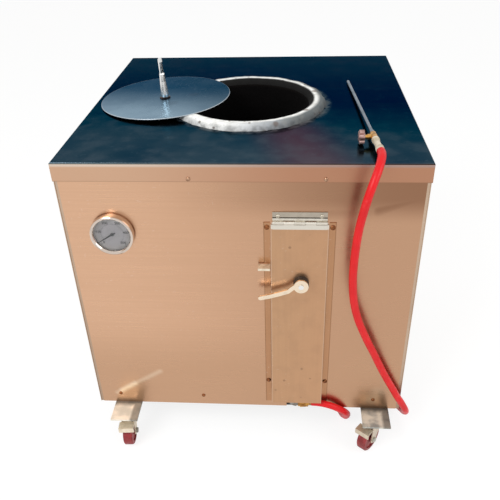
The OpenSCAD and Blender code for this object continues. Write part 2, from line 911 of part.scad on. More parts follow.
// Knuckles of one leaf: every second one of five, cut short by the running gap
module knuckles(first) {
    step = leaf_w / 5;
    for (i = [first : 2 : 4]) {
        x = door_x - leaf_w / 2 + i * step + move_gap / 2;
        rod([x, hinge_y, axis_z], [x + step - move_gap, hinge_y, axis_z], knuckle_r);
    }
}

// Tabs that carry the knuckles, above (+1) or below (-1) the axis
module knuckle_tabs(first, side) {
    step = leaf_w / 5;
    deep = side > 0 ? -sheet_y : -sheet_y - door_gap - door_t;
    for (i = [first : 2 : 4]) {
        x = door_x - leaf_w / 2 + i * step + move_gap / 2;
        translate([x, deep - leaf_t, side > 0 ? axis_z : axis_z - leaf_clear])
            cube([step - move_gap, leaf_t, leaf_clear]);
    }
}

module hinge_leaf() {
    color("#b9c2b6")
    difference() {
        union() {
            block([door_x - leaf_w / 2, -sheet_y - leaf_t, axis_z + leaf_clear],
                [door_x + leaf_w / 2, -sheet_y, axis_z + leaf_h]);
            knuckle_tabs(0, 1);
            knuckles(0);
        }
        rod([door_left - leaf_w, hinge_y, axis_z], [door_right + leaf_w, hinge_y, axis_z], pin_r + pin_gap);
        leaf_spots() screw_hole();
    }
}

module hinge_pin() {
    half = leaf_w / 2 + pin_end;
    color("#9a9d9f")
    rod([door_x - half, hinge_y, axis_z], [door_x + half, hinge_y, axis_z], pin_r);
}

// Turns what is drawn on the shut door to where it hangs
module door_pose() {
    translate([0, hinge_y, axis_z])
        rotate([-door_ajar, 0, 0])
            translate([0, -hinge_y, -axis_z]) children();
}

module door_panel() {
    color("#b08c66")
    door_pose()
    difference() {
        union() {
            block([door_left, door_face, axis_z - door_h],
                [door_right, door_face + door_t, axis_z - leaf_clear]);
            block([door_x - leaf_w / 2, door_face - leaf_t, axis_z - moving_leaf_h],
                [door_x + leaf_w / 2, door_face, axis_z - leaf_clear]);
            knuckle_tabs(1, -1);
            knuckles(1);
        }
        rod([door_left - leaf_w, hinge_y, axis_z], [door_right + leaf_w, hinge_y, axis_z], pin_r + pin_gap);
        rod([hub_x, door_face - cut, hub_z], [hub_x, door_face + door_t + cut, hub_z], spindle_r + pin_gap);
    }
}

module latch_collar() {
    color("#1d1b19")
    door_pose()
    difference() {
        rod([hub_x, collar_y, hub_z], [hub_x, door_face, hub_z], collar_r);
        rod([hub_x, collar_y - cut, hub_z], [hub_x, door_face + cut, hub_z], spindle_r + pin_gap);
    }
}

module latch_spindle() {
    nut_y = door_face + door_t + move_gap;
    color("#c9c6b8")
    door_pose() {
        rod([hub_x, hub_y, hub_z], [hub_x, nut_y + latch_nut_t + spindle_end, hub_z], spindle_r);
        rod([hub_x, hub_y - spindle_head_t, hub_z], [hub_x, hub_y, hub_z], spindle_head_r);
        rod([hub_x, nut_y, hub_z], [hub_x, nut_y + latch_nut_t, hub_z], latch_nut_r);
    }
}

module latch_lever() {
    c = cos(lever_drop);
    s = sin(lever_drop);
    path = [for (p = [[0.1, 0.05], [0.2, 0.015], [0.3, -0.03], [0.5, -0.03], [0.72, -0.022], [0.91, 0]])
        lever_l * [-p[0] * c - p[1] * s, -p[0] * s + p[1] * c]];
    last = len(path) - 1;
    run = [for (i = [0 : last]) path[min(i + 1, last)] - path[max(i - 1, 0)]];
    side = [for (r = run) [-r[1], r[0]] * arm_w / 2 / norm(r)];
    near = [for (i = [0 : last]) path[i] + side[i]];
    far = [for (i = [last : -1 : 0]) path[i] - side[i]];
    color("#d8d4c4")
    door_pose()
    difference() {
        union() {
            rod([hub_x, hub_y, hub_z], [hub_x, hub_y + hub_t, hub_z], hub_r);
            upright(arm_y, lever_t)
                translate([hub_x, hub_z]) {
                    polygon(concat(near, far));
                    translate(path[last]) circle(r = arm_w / 2);
                }
        }
        rod([hub_x, hub_y - cut, hub_z], [hub_x, hub_y + hub_t + cut, hub_z], spindle_r + pin_gap);
    }
}

module latch_keeper() {
    x0 = door_left - strip_gap - strip_w;
    x1 = door_left - strip_gap - 0.5;
    face = -sheet_y - strip_t;
    lip_y = arm_y - lip_gap;
    z = hub_z + keeper_rise;
    top = z + keeper_roof;
    color("#c4b79c")
    union() {
        block([x0 + 0.5, face - lip_t, top + keeper_top - keeper_h], [x1, face, top + keeper_top]);
        block([x0 - lip_out, lip_y - lip_t, z], [x1, face, top]);
        block([x0 - lip_out, lip_y - lip_t, top - lip_h], [x1, lip_y, top]);
    }
}

// Puts what is drawn on a level lid to where the lid leans
module lid_pose() {
    translate([lid_x, lid_y, lid_z]) rotate([0, -lid_tilt, 0]) children();
}

module lid_plate() {
    color("#5d7288")
    lid_pose()
    rotate_extrude($fn = 120)
        polygon([[0, 0], [lid_r - 1, 0], [lid_r, 1], [lid_r, lid_t - 1], [lid_r - 1, lid_t], [0, lid_t]]);
}

module lid_collar() {
    color("#c9a79a")
    lid_pose()
    translate([0, -handle_off, lid_t])
        rotate_extrude()
            polygon([[0, 0], [14, 0], [14, 2.5], [12, 4], [0, 4]]);
}

module lid_handle() {
    color("#dfe3e6")
    lid_pose()
    translate([0, -handle_off, lid_t + 4])
        rotate_extrude()
            polygon([
                [0, 0], [11, 0], [11.5, 6], [10, 20], [8, 40], [6.8, 58], [6, 60], [5.4, 62],
                [5.6, handle_h - 14], [5.2, handle_h - 7], [3, handle_h - 4.4], [0, handle_h - 4]
            ]);
}

// Puts what is drawn along Y to where the wand lies: the tip is at +Y
module wand_pose() {
    translate([wand_x, wand_y, top_z + valve_rise])
        rotate([0, 0, wand_yaw]) rotate([-wand_dip, 0, 0]) children();
}

module wand_tube() {
    color("#b8c4c8")
    wand_pose()
    difference() {
        union() {
            rod([0, valve_rear, 0], [0, tube_l, 0], tube_r);
            rod([0, valve_rear, 0], [0, valve_rear + ferrule_l, 0], tube_r + 1.5);
        }
        rod([0, tube_l - 40, 0], [0, tube_l + cut, 0], tube_r - 1.5);
    }
}

module wand_valve() {
    color("#cdb98a")
    wand_pose()
    union() {
        rod([0, -valve_front, 0], [0, valve_rear, 0], valve_r);
        rod([0, 0, 0], [-2 * valve_r, 0, 0], valve_r - 1.5);
        rod([-2 * valve_r, 0, 0], [move_gap - knob_in, 0, 0], valve_r - 3);
        rod([move_gap - knob_in, 0, 0], [-knob_stem_end, 0, 0], knob_stem_r);
    }
}

module wand_knob() {
    out = -knob_in - knob_t;
    lobe = 0.34 * knob_r;
    color("#d9b7b0")
    wand_pose()
    difference() {
        union() {
            rod([-knob_in, 0, 0], [out, 0, 0], 0.5 * knob_r);
            for (turn = [0 : 72 : 288]) {
                rotate([turn, 0, 0])
                    rod([-knob_in - 1.5, 0, knob_r - lobe], [out + 1, 0, knob_r - lobe], lobe);
            }
        }
        rod([-knob_in + cut, 0, 0], [-knob_stem_end - move_gap, 0, 0], knob_stem_r + pin_gap);
    }
}

module wand_sleeve() {
    color("#dcd6c4")
    wand_pose()
    union() {
        rod([0, -sleeve_end, 0], [0, -valve_front, 0], sleeve_r);
        rod([0, -valve_front - ferrule_l / 2, 0], [0, -valve_front, 0], sleeve_r + 1.5);
        rod([0, -sleeve_end, 0], [0, ferrule_l - sleeve_end, 0], sleeve_r + 2);
    }
}

// Unit vector along v
function unit(v) = v / norm(v);

// Direction of the hose at a route point
function hose_dir(i) =
    unit(hose_line[min(i + 1, len(hose_line) - 1)] - hose_line[max(i - 1, 0)]);

module gas_hose() {
    count = len(hose_line);
    start = unit(cross(hose_dir(0), [0, 0, 1]));
    sides = [
        for (i = 0, s = start; i < count; i = i + 1,
            s = i < count ? unit(s - (s * hose_dir(i)) * hose_dir(i)) : s) s
    ];
    points = [
        for (i = [0 : count - 1], k = [0 : hose_sides - 1])
            hose_line[i] + hose_d / 2 * (cos(360 * k / hose_sides) * sides[i]
                + sin(360 * k / hose_sides) * cross(hose_dir(i), sides[i]))
    ];
    walls = [
        for (i = [0 : count - 2], k = [0 : hose_sides - 1])
            [i * hose_sides + k, i * hose_sides + (k + 1) % hose_sides,
                (i + 1) * hose_sides + (k + 1) % hose_sides, (i + 1) * hose_sides + k]
    ];
    first = [for (k = [hose_sides - 1 : -1 : 0]) k];
    last = [for (k = [0 : hose_sides - 1]) (count - 1) * hose_sides + k];
    color("#e02832")
    polyhedron(points = points, faces = concat([first], walls, [last]), convexity = 12);
}

// Puts children at each caster spot
module at_casters() {
    for (spot = caster_spots) translate([spot[0], spot[1], 0]) children();
}

// Puts what is drawn for a caster to its place and turn
module caster_pose(i) {
    spot = caster_spots[i];
    translate([spot[0], spot[1], 0]) rotate([0, 0, spot[2]]) children();
}

module bolt_spots() {
    for (x = [-bolt_x, bolt_x], y = [-bolt_y, bolt_y]) translate([x, y, 0]) children();
}

module foot_plates() {
    rim = 3;
    color("#a9b0a8")
    difference() {
        for (spot = caster_spots) {
            side = sign(spot[1]);
            inner = side * (frame_y - angle_leg);
            outer = spot[1] + side * (plate_l / 2 + rim);
            block([spot[0] - plate_w / 2 - rim, min(inner, outer), caster_h],
                [spot[0] + plate_w / 2 + rim, max(inner, outer), base_z]);
        }
        at_casters() bolt_spots() cylinder(h = 2 * base_z, r = bolt_r + pin_gap);
    }
}

module caster_plates() {
    head_z = crown_z - kingpin_head_t;
    color("#b4bab2")
    at_casters()
    difference() {
        union() {
            block([-plate_w / 2, -plate_l / 2, caster_h - plate_t], [plate_w / 2, plate_l / 2, caster_h]);
            translate([0, 0, race_z]) cylinder(h = race_h, r = race_r);
            translate([0, 0, head_z]) cylinder(h = caster_h - head_z - plate_t, r = kingpin_r);
            translate([0, 0, head_z]) cylinder(h = kingpin_head_t - move_gap, r = kingpin_head_r);
        }
        bolt_spots() cylinder(h = 2 * base_z, r = bolt_r + pin_gap);
    }
}

module caster_bolts() {
    nut_z = caster_h - plate_t - bolt_head_t;
    color("#8f9493")
    at_casters() bolt_spots() {
        translate([0, 0, nut_z]) cylinder(h = bolt_head_t, r = bolt_head_r);
        translate([0, 0, nut_z]) cylinder(h = base_z - nut_z, r = bolt_r);
    }
}

// Outline of a fork leg in Y and Z
module leg_outline() {
    polygon([[-fork_back, crown_z + crown_t], [fork_front, crown_z + crown_t],
        [fork_foot - trail, wheel_r - 4], [-trail - fork_foot, wheel_r - 4]]);
    translate([-trail, wheel_r]) circle(r = fork_foot);
}

module fork(i) {
    color("#c2b49a")
    caster_pose(i)
    difference() {
        union() {
            translate([0, 0, crown_z]) cylinder(h = crown_t, r = crown_r);
            block([-leg_in, -fork_back, crown_z], [leg_in, fork_front, crown_z + crown_t]);
            for (side = [0, 1]) {
                mirror([side, 0, 0])
                    translate([leg_in, 0, 0])
                        rotate([90, 0, 90]) linear_extrude(height = leg_t) leg_outline();
            }
        }
        translate([0, 0, crown_z - cut]) cylinder(h = crown_t + 2 * cut, r = kingpin_r + pin_gap);
        rod([-50, -trail, wheel_r], [50, -trail, wheel_r], axle_r + pin_gap);
    }
}

module axle(i) {
    out = leg_in + leg_t;
    color("#9ba09e")
    caster_pose(i)
    translate([0, -trail, wheel_r]) {
        rod([-out - 8, 0, 0], [out + 0.5, 0, 0], axle_r);
        rod([out, 0, 0], [out + 5, 0, 0], 7);
        rod([-out - 6, 0, 0], [-out, 0, 0], 6.8);
    }
}

module wheel(i) {
    half = wheel_w / 2;
    core = wheel_r - 9;
    color("#9a1f28")
    caster_pose(i)
    translate([0, -trail, wheel_r])
        rotate([0, 90, 0]) {
            rotate_extrude($fn = 72)
                polygon([[core, -half], [wheel_r - 2.5, -half], [wheel_r, 2.5 - half],
                    [wheel_r, half - 2.5], [wheel_r - 2.5, half], [core, half]]);
            rotate_extrude($fn = 72)
                polygon([[axle_r + pin_gap, -leg_in + move_gap], [10, -leg_in + move_gap], [10, 3 - half],
                    [core, 3 - half], [core, half - 3], [10, half - 3], [10, leg_in - move_gap],
                    [axle_r + pin_gap, leg_in - move_gap]]);
        }
}

// The pedal hangs on its barrel between the fork legs and reaches over the wheel
module pedal(i) {
    low = crown_z - pedal_drop - pedal_t / 2;
    top = low + pedal_t;
    barrel = leg_in - move_gap;
    color("#cabda4")
    caster_pose(i)
    union() {
        translate([0, -pedal_pivot, low + pedal_t / 2])
            rod([-barrel, 0, 0], [barrel, 0, 0], pedal_barrel_r);
        block([-pedal_neck_w / 2, -pedal_pivot - 13, low], [pedal_neck_w / 2, -pedal_pivot, top]);
        block([-pedal_w / 2, -pedal_end, low], [pedal_w / 2, -pedal_pivot - 11, top]);
        block([-pedal_w / 2, -pedal_end, top - pedal_lip_h], [pedal_w / 2, pedal_t - pedal_end, top]);
    }
}

module fork_front_left() { fork(0); }
module fork_front_right() { fork(1); }
module fork_rear_left() { fork(2); }
module fork_rear_right() { fork(3); }
module axle_front_left() { axle(0); }
module axle_front_right() { axle(1); }
module axle_rear_left() { axle(2); }
module axle_rear_right() { axle(3); }
module wheel_front_left() { wheel(0); }
module wheel_front_right() { wheel(1); }
module wheel_rear_left() { wheel(2); }
module wheel_rear_right() { wheel(3); }
module pedal_front_left() { pedal(0); }
module pedal_front_right() { pedal(1); }

module panel_screws() {
    color("#7b6a58") {
        low_spots() screw(0);
        high_spots() screw(sheet_t + seat_gap);
        strip_spots() screw(strip_t, strip_head_r);
        leaf_spots() screw(leaf_t);
    }
}

base_frame();
corner_posts();
floor_plate();
front_panel();
left_panel();
right_panel();
rear_panel();
top_cover();
clay_pot();
mouth_ring();
insulation();
door_box();
throat_duct();
burner();
burner_pipe();
burner_valve();
valve_lever();
gas_pipe();
hose_elbow();
gauge_case();
gauge_bezel();
gauge_dial();
gauge_glass();
gauge_stem();
gauge_needle();
side_strips();
hinge_leaf();
hinge_pin();
door_panel();
latch_collar();
latch_spindle();
latch_lever();
latch_keeper();
lid_plate();
lid_collar();
lid_handle();
wand_tube();
wand_valve();
wand_knob();
wand_sleeve();
gas_hose();
foot_plates();
caster_plates();
caster_bolts();
panel_screws();
fork_front_left();
fork_front_right();
fork_rear_left();
fork_rear_right();
axle_front_left();
axle_front_right();
axle_rear_left();
axle_rear_right();
wheel_front_left();
wheel_front_right();
wheel_rear_left();
wheel_rear_right();
pedal_front_left();
pedal_front_right();
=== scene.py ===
import math

import bpy
import numpy as np
from mathutils import Matrix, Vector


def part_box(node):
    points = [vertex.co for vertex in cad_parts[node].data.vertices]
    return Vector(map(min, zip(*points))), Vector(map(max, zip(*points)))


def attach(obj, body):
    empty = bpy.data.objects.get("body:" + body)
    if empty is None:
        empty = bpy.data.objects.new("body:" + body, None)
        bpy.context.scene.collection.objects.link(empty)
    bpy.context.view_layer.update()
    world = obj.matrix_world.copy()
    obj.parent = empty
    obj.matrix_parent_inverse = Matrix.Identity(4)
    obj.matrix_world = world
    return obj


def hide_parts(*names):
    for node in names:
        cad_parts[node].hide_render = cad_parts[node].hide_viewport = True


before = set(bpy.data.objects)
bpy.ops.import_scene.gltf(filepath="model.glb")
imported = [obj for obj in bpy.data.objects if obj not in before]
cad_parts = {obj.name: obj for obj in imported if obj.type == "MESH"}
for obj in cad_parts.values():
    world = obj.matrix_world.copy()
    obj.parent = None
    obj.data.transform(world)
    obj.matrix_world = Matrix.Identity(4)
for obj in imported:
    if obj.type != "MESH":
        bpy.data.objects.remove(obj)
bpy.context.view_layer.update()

bl_info = {
    "name": "Square gas tandoor",
    "version": (1, 0, 0),
    "blender": (4, 5, 0),
    "location": "View3D > Sidebar > Tandoor",
    "description": "Dresses the tandoor's solids: sheets, cement ring, dial, hose, screws, casters",
    "category": "Object",
}


def middle(low, high):
    """Centre of a box."""
    return tuple((a + b) / 2 for a, b in zip(low, high))


RING_LOW, RING_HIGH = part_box("mouth_ring")
TOP_Z = RING_LOW.z
MOUTH = middle(RING_LOW, RING_HIGH)[:2]
FRONT_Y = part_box("front_panel")[0].y
GAUGE_LOW, GAUGE_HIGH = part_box("gauge_dial")
GAUGE = (middle(GAUGE_LOW, GAUGE_HIGH)[0], GAUGE_LOW.y, middle(GAUGE_LOW, GAUGE_HIGH)[2])
LID_LOW, LID_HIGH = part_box("lid_plate")
LID_MIDDLE = middle(LID_LOW, LID_HIGH)[:2]
LID_R = (LID_HIGH.x - LID_LOW.x) / 2
SPOTS = ("front_left", "front_right", "rear_left", "rear_right")

# Sizes in metres that no box gives: the lid's sheet, the mouth's radius, the lower edge of the
# hinge's leaf, the marks and numbers on the dial, and how far the numbers stand inside the marks
LID_T = 0.003
MOUTH_R = 0.155
LEAF_Z = 0.6642
MARK_T = 0.00008
NUMBER_T = 0.00004
NUMBER_INSET = 0.0088

# Ways, and the tone of rubbed plating
UP, DOWN = (0.0, 0.0, 1.0), (0.0, 0.0, -1.0)
RIGHT, LEFT = (1.0, 0.0, 0.0), (-1.0, 0.0, 0.0)
FORWARD, BACK = (0.0, -1.0, 0.0), (0.0, 1.0, 0.0)
LEVEL = (1.0, 1.0, 0.0)
RUBBED = (0.9, 0.88, 0.84)

# Centre of the hose from the wand's sleeve to the elbow under the door, in millimetres
HOSE_ROUTE = (
    (295.8, -384.6, 840.5), (296.5, -398.6, 840), (293.5, -418.4, 836.3), (288.1, -436.2, 827.8),
    (281.5, -450.6, 815), (274.6, -460.7, 798.7), (268.6, -465.9, 779.9), (264.2, -465.8, 760),
    (261.1, -462.7, 740.1), (256.2, -460.5, 708), (253, -459, 676), (251, -458, 643),
    (250, -457, 610), (250, -456, 576), (252, -454, 542), (256, -452, 507), (263, -449, 472),
    (273, -446, 437), (286, -443, 403), (300, -440, 369), (315, -437, 336), (329, -434, 303),
    (343, -431, 271), (358, -428, 239), (374, -425, 207), (390, -423.5, 175), (405, -420, 147),
    (418, -411.5, 117), (426, -394, 89), (428.5, -369, 62), (427, -338, 39), (419.5, -306, 22.5),
    (405.5, -276, 13), (385, -254, 10), (362, -243, 10), (339, -240, 10), (317, -243, 11),
    (296, -252, 12), (279, -266, 12), (267, -284, 11.5), (260.5, -304, 11.5), (259.5, -325, 13.5),
    (262.5, -344, 20), (267, -361, 30.5), (270, -375.5, 44), (271.5, -387, 60), (270, -397, 75.5),
    (265, -405.5, 89.5), (257, -411.5, 102), (246.5, -415.5, 112.5), (234, -417.5, 121.5),
    (219.5, -418, 128.5), (204, -416.8, 132.3), (188.5, -414.5, 132.9), (173, -411, 130),
)


def shade(red, green, blue):
    """Linear colour of an 8-bit screen colour: each channel is undone by the screen's own curve."""
    parts = np.array((red, green, blue), float) / 255
    return tuple(np.where(parts <= 0.04045, parts / 12.92, ((parts + 0.055) / 1.055) ** 2.4))


def tint(label, red, green, blue):
    """A colour setting with its name and its default on the screen."""
    return bpy.props.FloatVectorProperty(
        name=label, description=f"{label} of the finish", default=shade(red, green, blue),
        subtype="COLOR", size=3, min=0, max=1)


def length(label, default, low, high):
    """A length setting in metres."""
    return bpy.props.FloatProperty(
        name=label, description=f"{label}, in metres", default=default, min=low, max=high,
        subtype="DISTANCE", unit="LENGTH", precision=4)


def share(label, default):
    """A setting from 0 to 1."""
    return bpy.props.FloatProperty(
        name=label, description=label, default=default, min=0, max=1, subtype="FACTOR")


def count(label, default, low, high):
    """A whole-number setting."""
    return bpy.props.IntProperty(name=label, description=label, default=default, min=low, max=high)


def angle(label, description, degrees):
    """An angle setting."""
    return bpy.props.FloatProperty(
        name=label, description=description, default=math.radians(degrees), subtype="ANGLE",
        unit="ROTATION")


def power(label, watts):
    """The power of a lamp."""
    return bpy.props.FloatProperty(
        name=label, description=f"Power of the {label.lower()}", default=watts, min=0, unit="POWER")


class TandoorSheetSettings(bpy.types.PropertyGroup):
    """Finish of the case's sheets and of the door."""

    # The front sheet's left, right and foot tones are painted reflection: paler on the left, darker
    # to the right and at the foot
    left: tint("Left of the front sheet", 212, 170, 139)
    right: tint("Right of the front sheet", 187, 147, 118)
    low: tint("Foot of the front sheet", 188, 149, 119)
    side: tint("Side sheets", 196, 172, 150)
    # The bright folded edge is a painted highlight along the door's cut edges
    edge: tint("Bright folded edge", 232, 220, 206)
    door: tint("Door sheet", 190, 149, 115)
    strip: tint("Strips beside the door", 184, 138, 104)
    leaf: tint("Hinge leaves", 214, 208, 196)
    shine: share("Roughness of the sheets", 0.27)
    waves: length("Depth of the sheet's waves", 0.0012, 0, 0.004)


class TandoorTopSettings(bpy.types.PropertyGroup):
    """Finish of the top, the lid and the mouth."""

    back: tint("Back of the top", 4, 48, 64)
    front: tint("Front of the top", 66, 80, 90)
    rose: tint("Warm stain of the top", 108, 74, 80)
    lid_back: tint("Back of the lid", 16, 62, 90)
    lid_front: tint("Front of the lid", 160, 182, 196)
    cement: tint("Cement of the ring", 252, 252, 248)
    cement_dark: tint("Shaded cement", 66, 76, 80)
    speck: tint("Specks in the cement", 92, 66, 48)
    clay: tint("Bare clay", 178, 116, 84)
    soot: tint("Soot in the pot", 4, 3, 3)


class TandoorRingSettings(bpy.types.PropertyGroup):
    """Shape of the hand-laid cement ring."""

    unevenness: length("Unevenness of the cement", 0.0017, 0, 0.006)
    around: count("Points round the ring", 320, 96, 640)
    across: count("Points across the ring", 30, 12, 60)
    seed: count("Seed of the unevenness", 7, 0, 999)


class TandoorDialSettings(bpy.types.PropertyGroup):
    """Marks and numbers on the thermometer's dial."""

    top_value: count("Highest number", 500, 100, 1000)
    steps: count("Numbered steps", 5, 2, 10)
    small_steps: count("Small steps in each numbered one", 10, 2, 20)
    start: angle("Angle of zero", "Angle of zero from the right, anticlockwise", 223.5)
    sweep: angle("Sweep", "Angle from zero to the highest number, clockwise", 270)
    radius: length("Radius of the marks", 0.0405, 0.02, 0.045)
    number_size: length("Height of the numbers", 0.009, 0.003, 0.012)
    needle: length("Reach of the needle", 0.0435, 0.02, 0.045)
    needle_width: length("Width of the needle", 0.0036, 0.001, 0.006)
    needle_angle: angle("Angle of the needle", "Its angle from the right, anticlockwise", 211.5)
    ink: tint("Ink", 14, 14, 16)
    face: tint("Dial face", 166, 160, 164)


class TandoorHoseSettings(bpy.types.PropertyGroup):
    """The red gas hose."""

    diameter: length("Outside diameter", 0.018, 0.012, 0.024)
    between: count("Points added between two route points", 5, 1, 12)
    red: tint("Hose", 218, 22, 28)
    deep: tint("Deeper red of the hose", 198, 16, 22)


class TandoorSmallSettings(bpy.types.PropertyGroup):
    """Finish of the small parts."""

    zinc: tint("Zinc plating", 236, 230, 216)
    fork: tint("Yellowed plating", 240, 228, 206)
    wheel: tint("Wheel", 146, 28, 34)
    brass: tint("Brass", 206, 156, 82)
    rose: tint("Knob and collar", 206, 172, 164)
    cream: tint("Sleeve", 224, 214, 192)
    wand: tint("Wand tube", 112, 124, 136)
    chrome: tint("Polished metal", 226, 226, 224)
    # The thermometer case's warm tint is a painted reflection of the front sheet
    gauge: tint("Thermometer case", 208, 194, 182)
    latch: tint("Latch lever", 232, 214, 190)
    screw: tint("Screws", 158, 100, 62)
    black: tint("Black plastic", 16, 14, 13)
    grey: tint("Grey pipe", 160, 156, 150)


class TandoorStageSettings(bpy.types.PropertyGroup):
    """Floor, lamps, world and camera."""

    floor: tint("Floor", 247, 247, 246)
    glow: share("Share of the floor that shows plain white", 0.75)
    ambient: share("Light from all round", 0.62)
    key: power("Main lamp", 62)
    fill: power("Fill lamp", 26)
    lens: bpy.props.FloatProperty(
        name="Lens", description="Focal length for a 36 mm sensor", default=44.18, min=10,
        subtype="DISTANCE_CAMERA", unit="CAMERA")
    place: bpy.props.FloatVectorProperty(
        name="Camera", description="Place of the camera", default=(0.112, -1.578, 1.358),
        size=3, subtype="XYZ", unit="LENGTH")
    yaw: angle("Turn", "Turn of the view to the left", 4.5)
    pitch: angle("Tilt", "Tilt of the view below level", 32.56)
    roll: angle("Roll", "Roll of the view about its own line", -1.78)


SETTINGS = {
    "tandoor_sheet": TandoorSheetSettings,
    "tandoor_top": TandoorTopSettings,
    "tandoor_ring": TandoorRingSettings,
    "tandoor_dial": TandoorDialSettings,
    "tandoor_hose": TandoorHoseSettings,
    "tandoor_small": TandoorSmallSettings,
    "tandoor_stage": TandoorStageSettings,
}


# Surfaces


def grid_faces(rows, columns, wrap_rows=False, wrap_columns=False):
    """Four-sided faces of a grid of points: each joins a point, its neighbours along the row and
    the column, and the point across. A wrapped direction joins its last line to its first."""
    row = np.arange(rows if wrap_rows else rows - 1)
    column = np.arange(columns if wrap_columns else columns - 1)
    a, b = np.meshgrid(row, column, indexing="ij")
    next_a, next_b = (a + 1) % rows, (b + 1) % columns
    here, beyond = a * columns, next_a * columns
    corners = (here + b, here + next_b, beyond + next_b, beyond + b)
    return np.stack(corners, axis=-1).reshape(-1, 4)


def wobble(points, size, seed):
    """Smooth unevenness of mean 0 and spread about a half: the sum of fourteen sine waves of that
    length, each along a direction and from a start of its own."""
    waves, spread = 14, 5.3
    pick = np.random.default_rng(seed)
    ways = pick.normal(size=(waves, 3))
    ways /= np.linalg.norm(ways, axis=1)[:, None]
    starts = pick.uniform(0, 2 * np.pi, waves)
    return np.sin(points @ ways.T * (2 * np.pi / size) + starts).sum(axis=1) / spread


def ring_points(inner, outer, height, unevenness, around, across, seed):
    """Cement ring: a flattened arch carried round the mouth. Across the ring the radius goes from
    the inner to the outer one, and the height is the ring's height times one minus the cube of the
    distance from the middle, to the power 0.7. The height sinks, and the outer edge draws in, by a
    wobble of three sizes."""
    step = (1 - np.cos(np.linspace(0, np.pi, across))) / 2
    arch = (1 - np.abs(2 * step - 1) ** 3) ** 0.7
    turn = np.linspace(0, 2 * np.pi, around, endpoint=False)
    radius = np.repeat(inner + (outer - inner) * step, around)
    rise = np.repeat(arch, around)
    side = np.repeat(step, around)
    angle = np.tile(turn, across)
    flat = np.column_stack((radius * np.cos(angle), radius * np.sin(angle), height * rise))
    sink = 0.55 + 0.6 * wobble(flat, 0.06, seed) + 0.35 * wobble(flat, 0.017, seed + 1)
    sink = unevenness * np.clip(sink + 0.15 * wobble(flat, 0.006, seed + 2), 0, 1.6)
    radius = radius - 1.5 * sink * side ** 3
    top = height * rise - sink * rise * (0.25 + 0.75 * side)
    return np.column_stack((radius * np.cos(angle), radius * np.sin(angle), np.maximum(top, 0)))


def worn_by_lid(points):
    """Where the lid lies the cement is worn down: no point is higher than the lid's sloping
    underside less half a millimetre, and beyond the lid that limit rises at three in four."""
    slope = (LID_HIGH.z - LID_LOW.z - LID_T) / (2 * LID_R)
    gap = 0.0005
    away = np.linalg.norm(points[:, :2] - np.array(LID_MIDDLE), axis=1) - LID_R
    under = (LID_LOW.z + LID_HIGH.z - LID_T) / 2 + slope * (points[:, 0] - LID_MIDDLE[0]) - gap
    points[:, 2] = np.minimum(points[:, 2], under + 0.75 * np.maximum(away - gap, 0))
    return points


def smooth_route(route, between):
    """A curve through the route's points: between two of them each added point is the Catmull-Rom
    blend of the four points about it."""
    knots = np.asarray(route, float) / 1000
    padded = np.vstack((2 * knots[0] - knots[1], knots, 2 * knots[-1] - knots[-2]))
    t = np.arange(between + 1)[:, None] / (between + 1)
    before, here, after, beyond = (padded[i:len(padded) - 3 + i, None, :] for i in range(4))
    bend = (2 * here + (after - before) * t + (2 * before - 5 * here + 4 * after - beyond) * t ** 2
            + (3 * here - before - 3 * after + beyond) * t ** 3) / 2
    return np.vstack((bend.reshape(-1, 3), knots[-1]))


def tick_boxes(radii, lengths, widths, angles, depth):
    """Marks of a dial: each is a thin box along a ray, from its radius inwards by its length, with
    its width across the ray and its depth towards the viewer."""
    ray = np.column_stack((np.cos(angles), np.sin(angles)))
    across = np.column_stack((-ray[:, 1], ray[:, 0])) * (np.asarray(widths) / 2)[:, None]
    outer = ray * np.asarray(radii)[:, None]
    inner = ray * (np.asarray(radii) - np.asarray(lengths))[:, None]
    flat = np.stack((inner - across, outer - across, outer + across, inner + across), axis=1)
    x, z = flat[..., 0], flat[..., 1]
    back = np.stack((x, np.zeros_like(x), z), axis=-1)
    front = np.stack((x, np.full_like(x, -depth), z), axis=-1)
    points = np.concatenate((back, front), axis=1).reshape(-1, 3)
    one = np.array(((0, 3, 2, 1), (4, 5, 6, 7), (0, 1, 5, 4), (1, 2, 6, 5), (2, 3, 7, 6),
                    (3, 0, 4, 7)))
    faces = (one[None, :, ::-1] + 8 * np.arange(len(angles))[:, None, None]).reshape(-1, 4)
    return points, faces


def blade_points(reach, angle, width, depth):
    """Flat pointer: a thin slab along a ray from the dial's middle, which narrows to a third of its
    width at the tip, and reaches its depth before and behind its middle plane."""
    ray = np.array((math.cos(angle), math.sin(angle)))
    across = np.array((-ray[1], ray[0])) * width / 2
    tail, tip = -0.2 * reach * ray, reach * ray
    flat = np.array((tail - across, tip - across / 3, tip + across / 3, tail + across))
    points = np.array([(x, side * depth, z) for side in (1, -1) for x, z in flat])
    faces = ((0, 1, 2, 3), (7, 6, 5, 4), (0, 4, 5, 1), (1, 5, 6, 2), (2, 6, 7, 3), (3, 7, 4, 0))
    return points, faces


# Meshes


def put_mesh(name, points, faces, body, finish, smooth=True):
    """A new piece from its points and faces, which rides on a body and takes a slot's finish."""
    mesh = bpy.data.meshes.new(name)
    faces = faces.tolist() if isinstance(faces, np.ndarray) else faces
    mesh.from_pydata(np.asarray(points, float).tolist(), [], faces)
    mesh.polygons.foreach_set("use_smooth", np.full(len(mesh.polygons), smooth))
    mesh.materials.append(finish)
    mesh.update()
    piece = bpy.data.objects.new(name, mesh)
    bpy.context.scene.collection.objects.link(piece)
    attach(piece, body)
    return piece


def dress(finish, *nodes):
    """Gives these CAD nodes a finish."""
    for node in nodes:
        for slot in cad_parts[node].material_slots:
            slot.material = finish


def placed(name, data, place, right, up, back):
    """A new object at a place, turned so that its own axes are these three."""
    thing = bpy.data.objects.new(name, data)
    bpy.context.scene.collection.objects.link(thing)
    axes = np.eye(4)
    axes[:3, :4] = np.column_stack((right, up, back, place))
    thing.matrix_world = Matrix(axes.tolist())
    return thing


def caster_nodes(*kinds):
    """Names of the caster nodes of each kind that exist."""
    names = (f"{kind}_{spot}" for kind in kinds for spot in SPOTS)
    return [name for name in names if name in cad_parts]


# Shader helpers


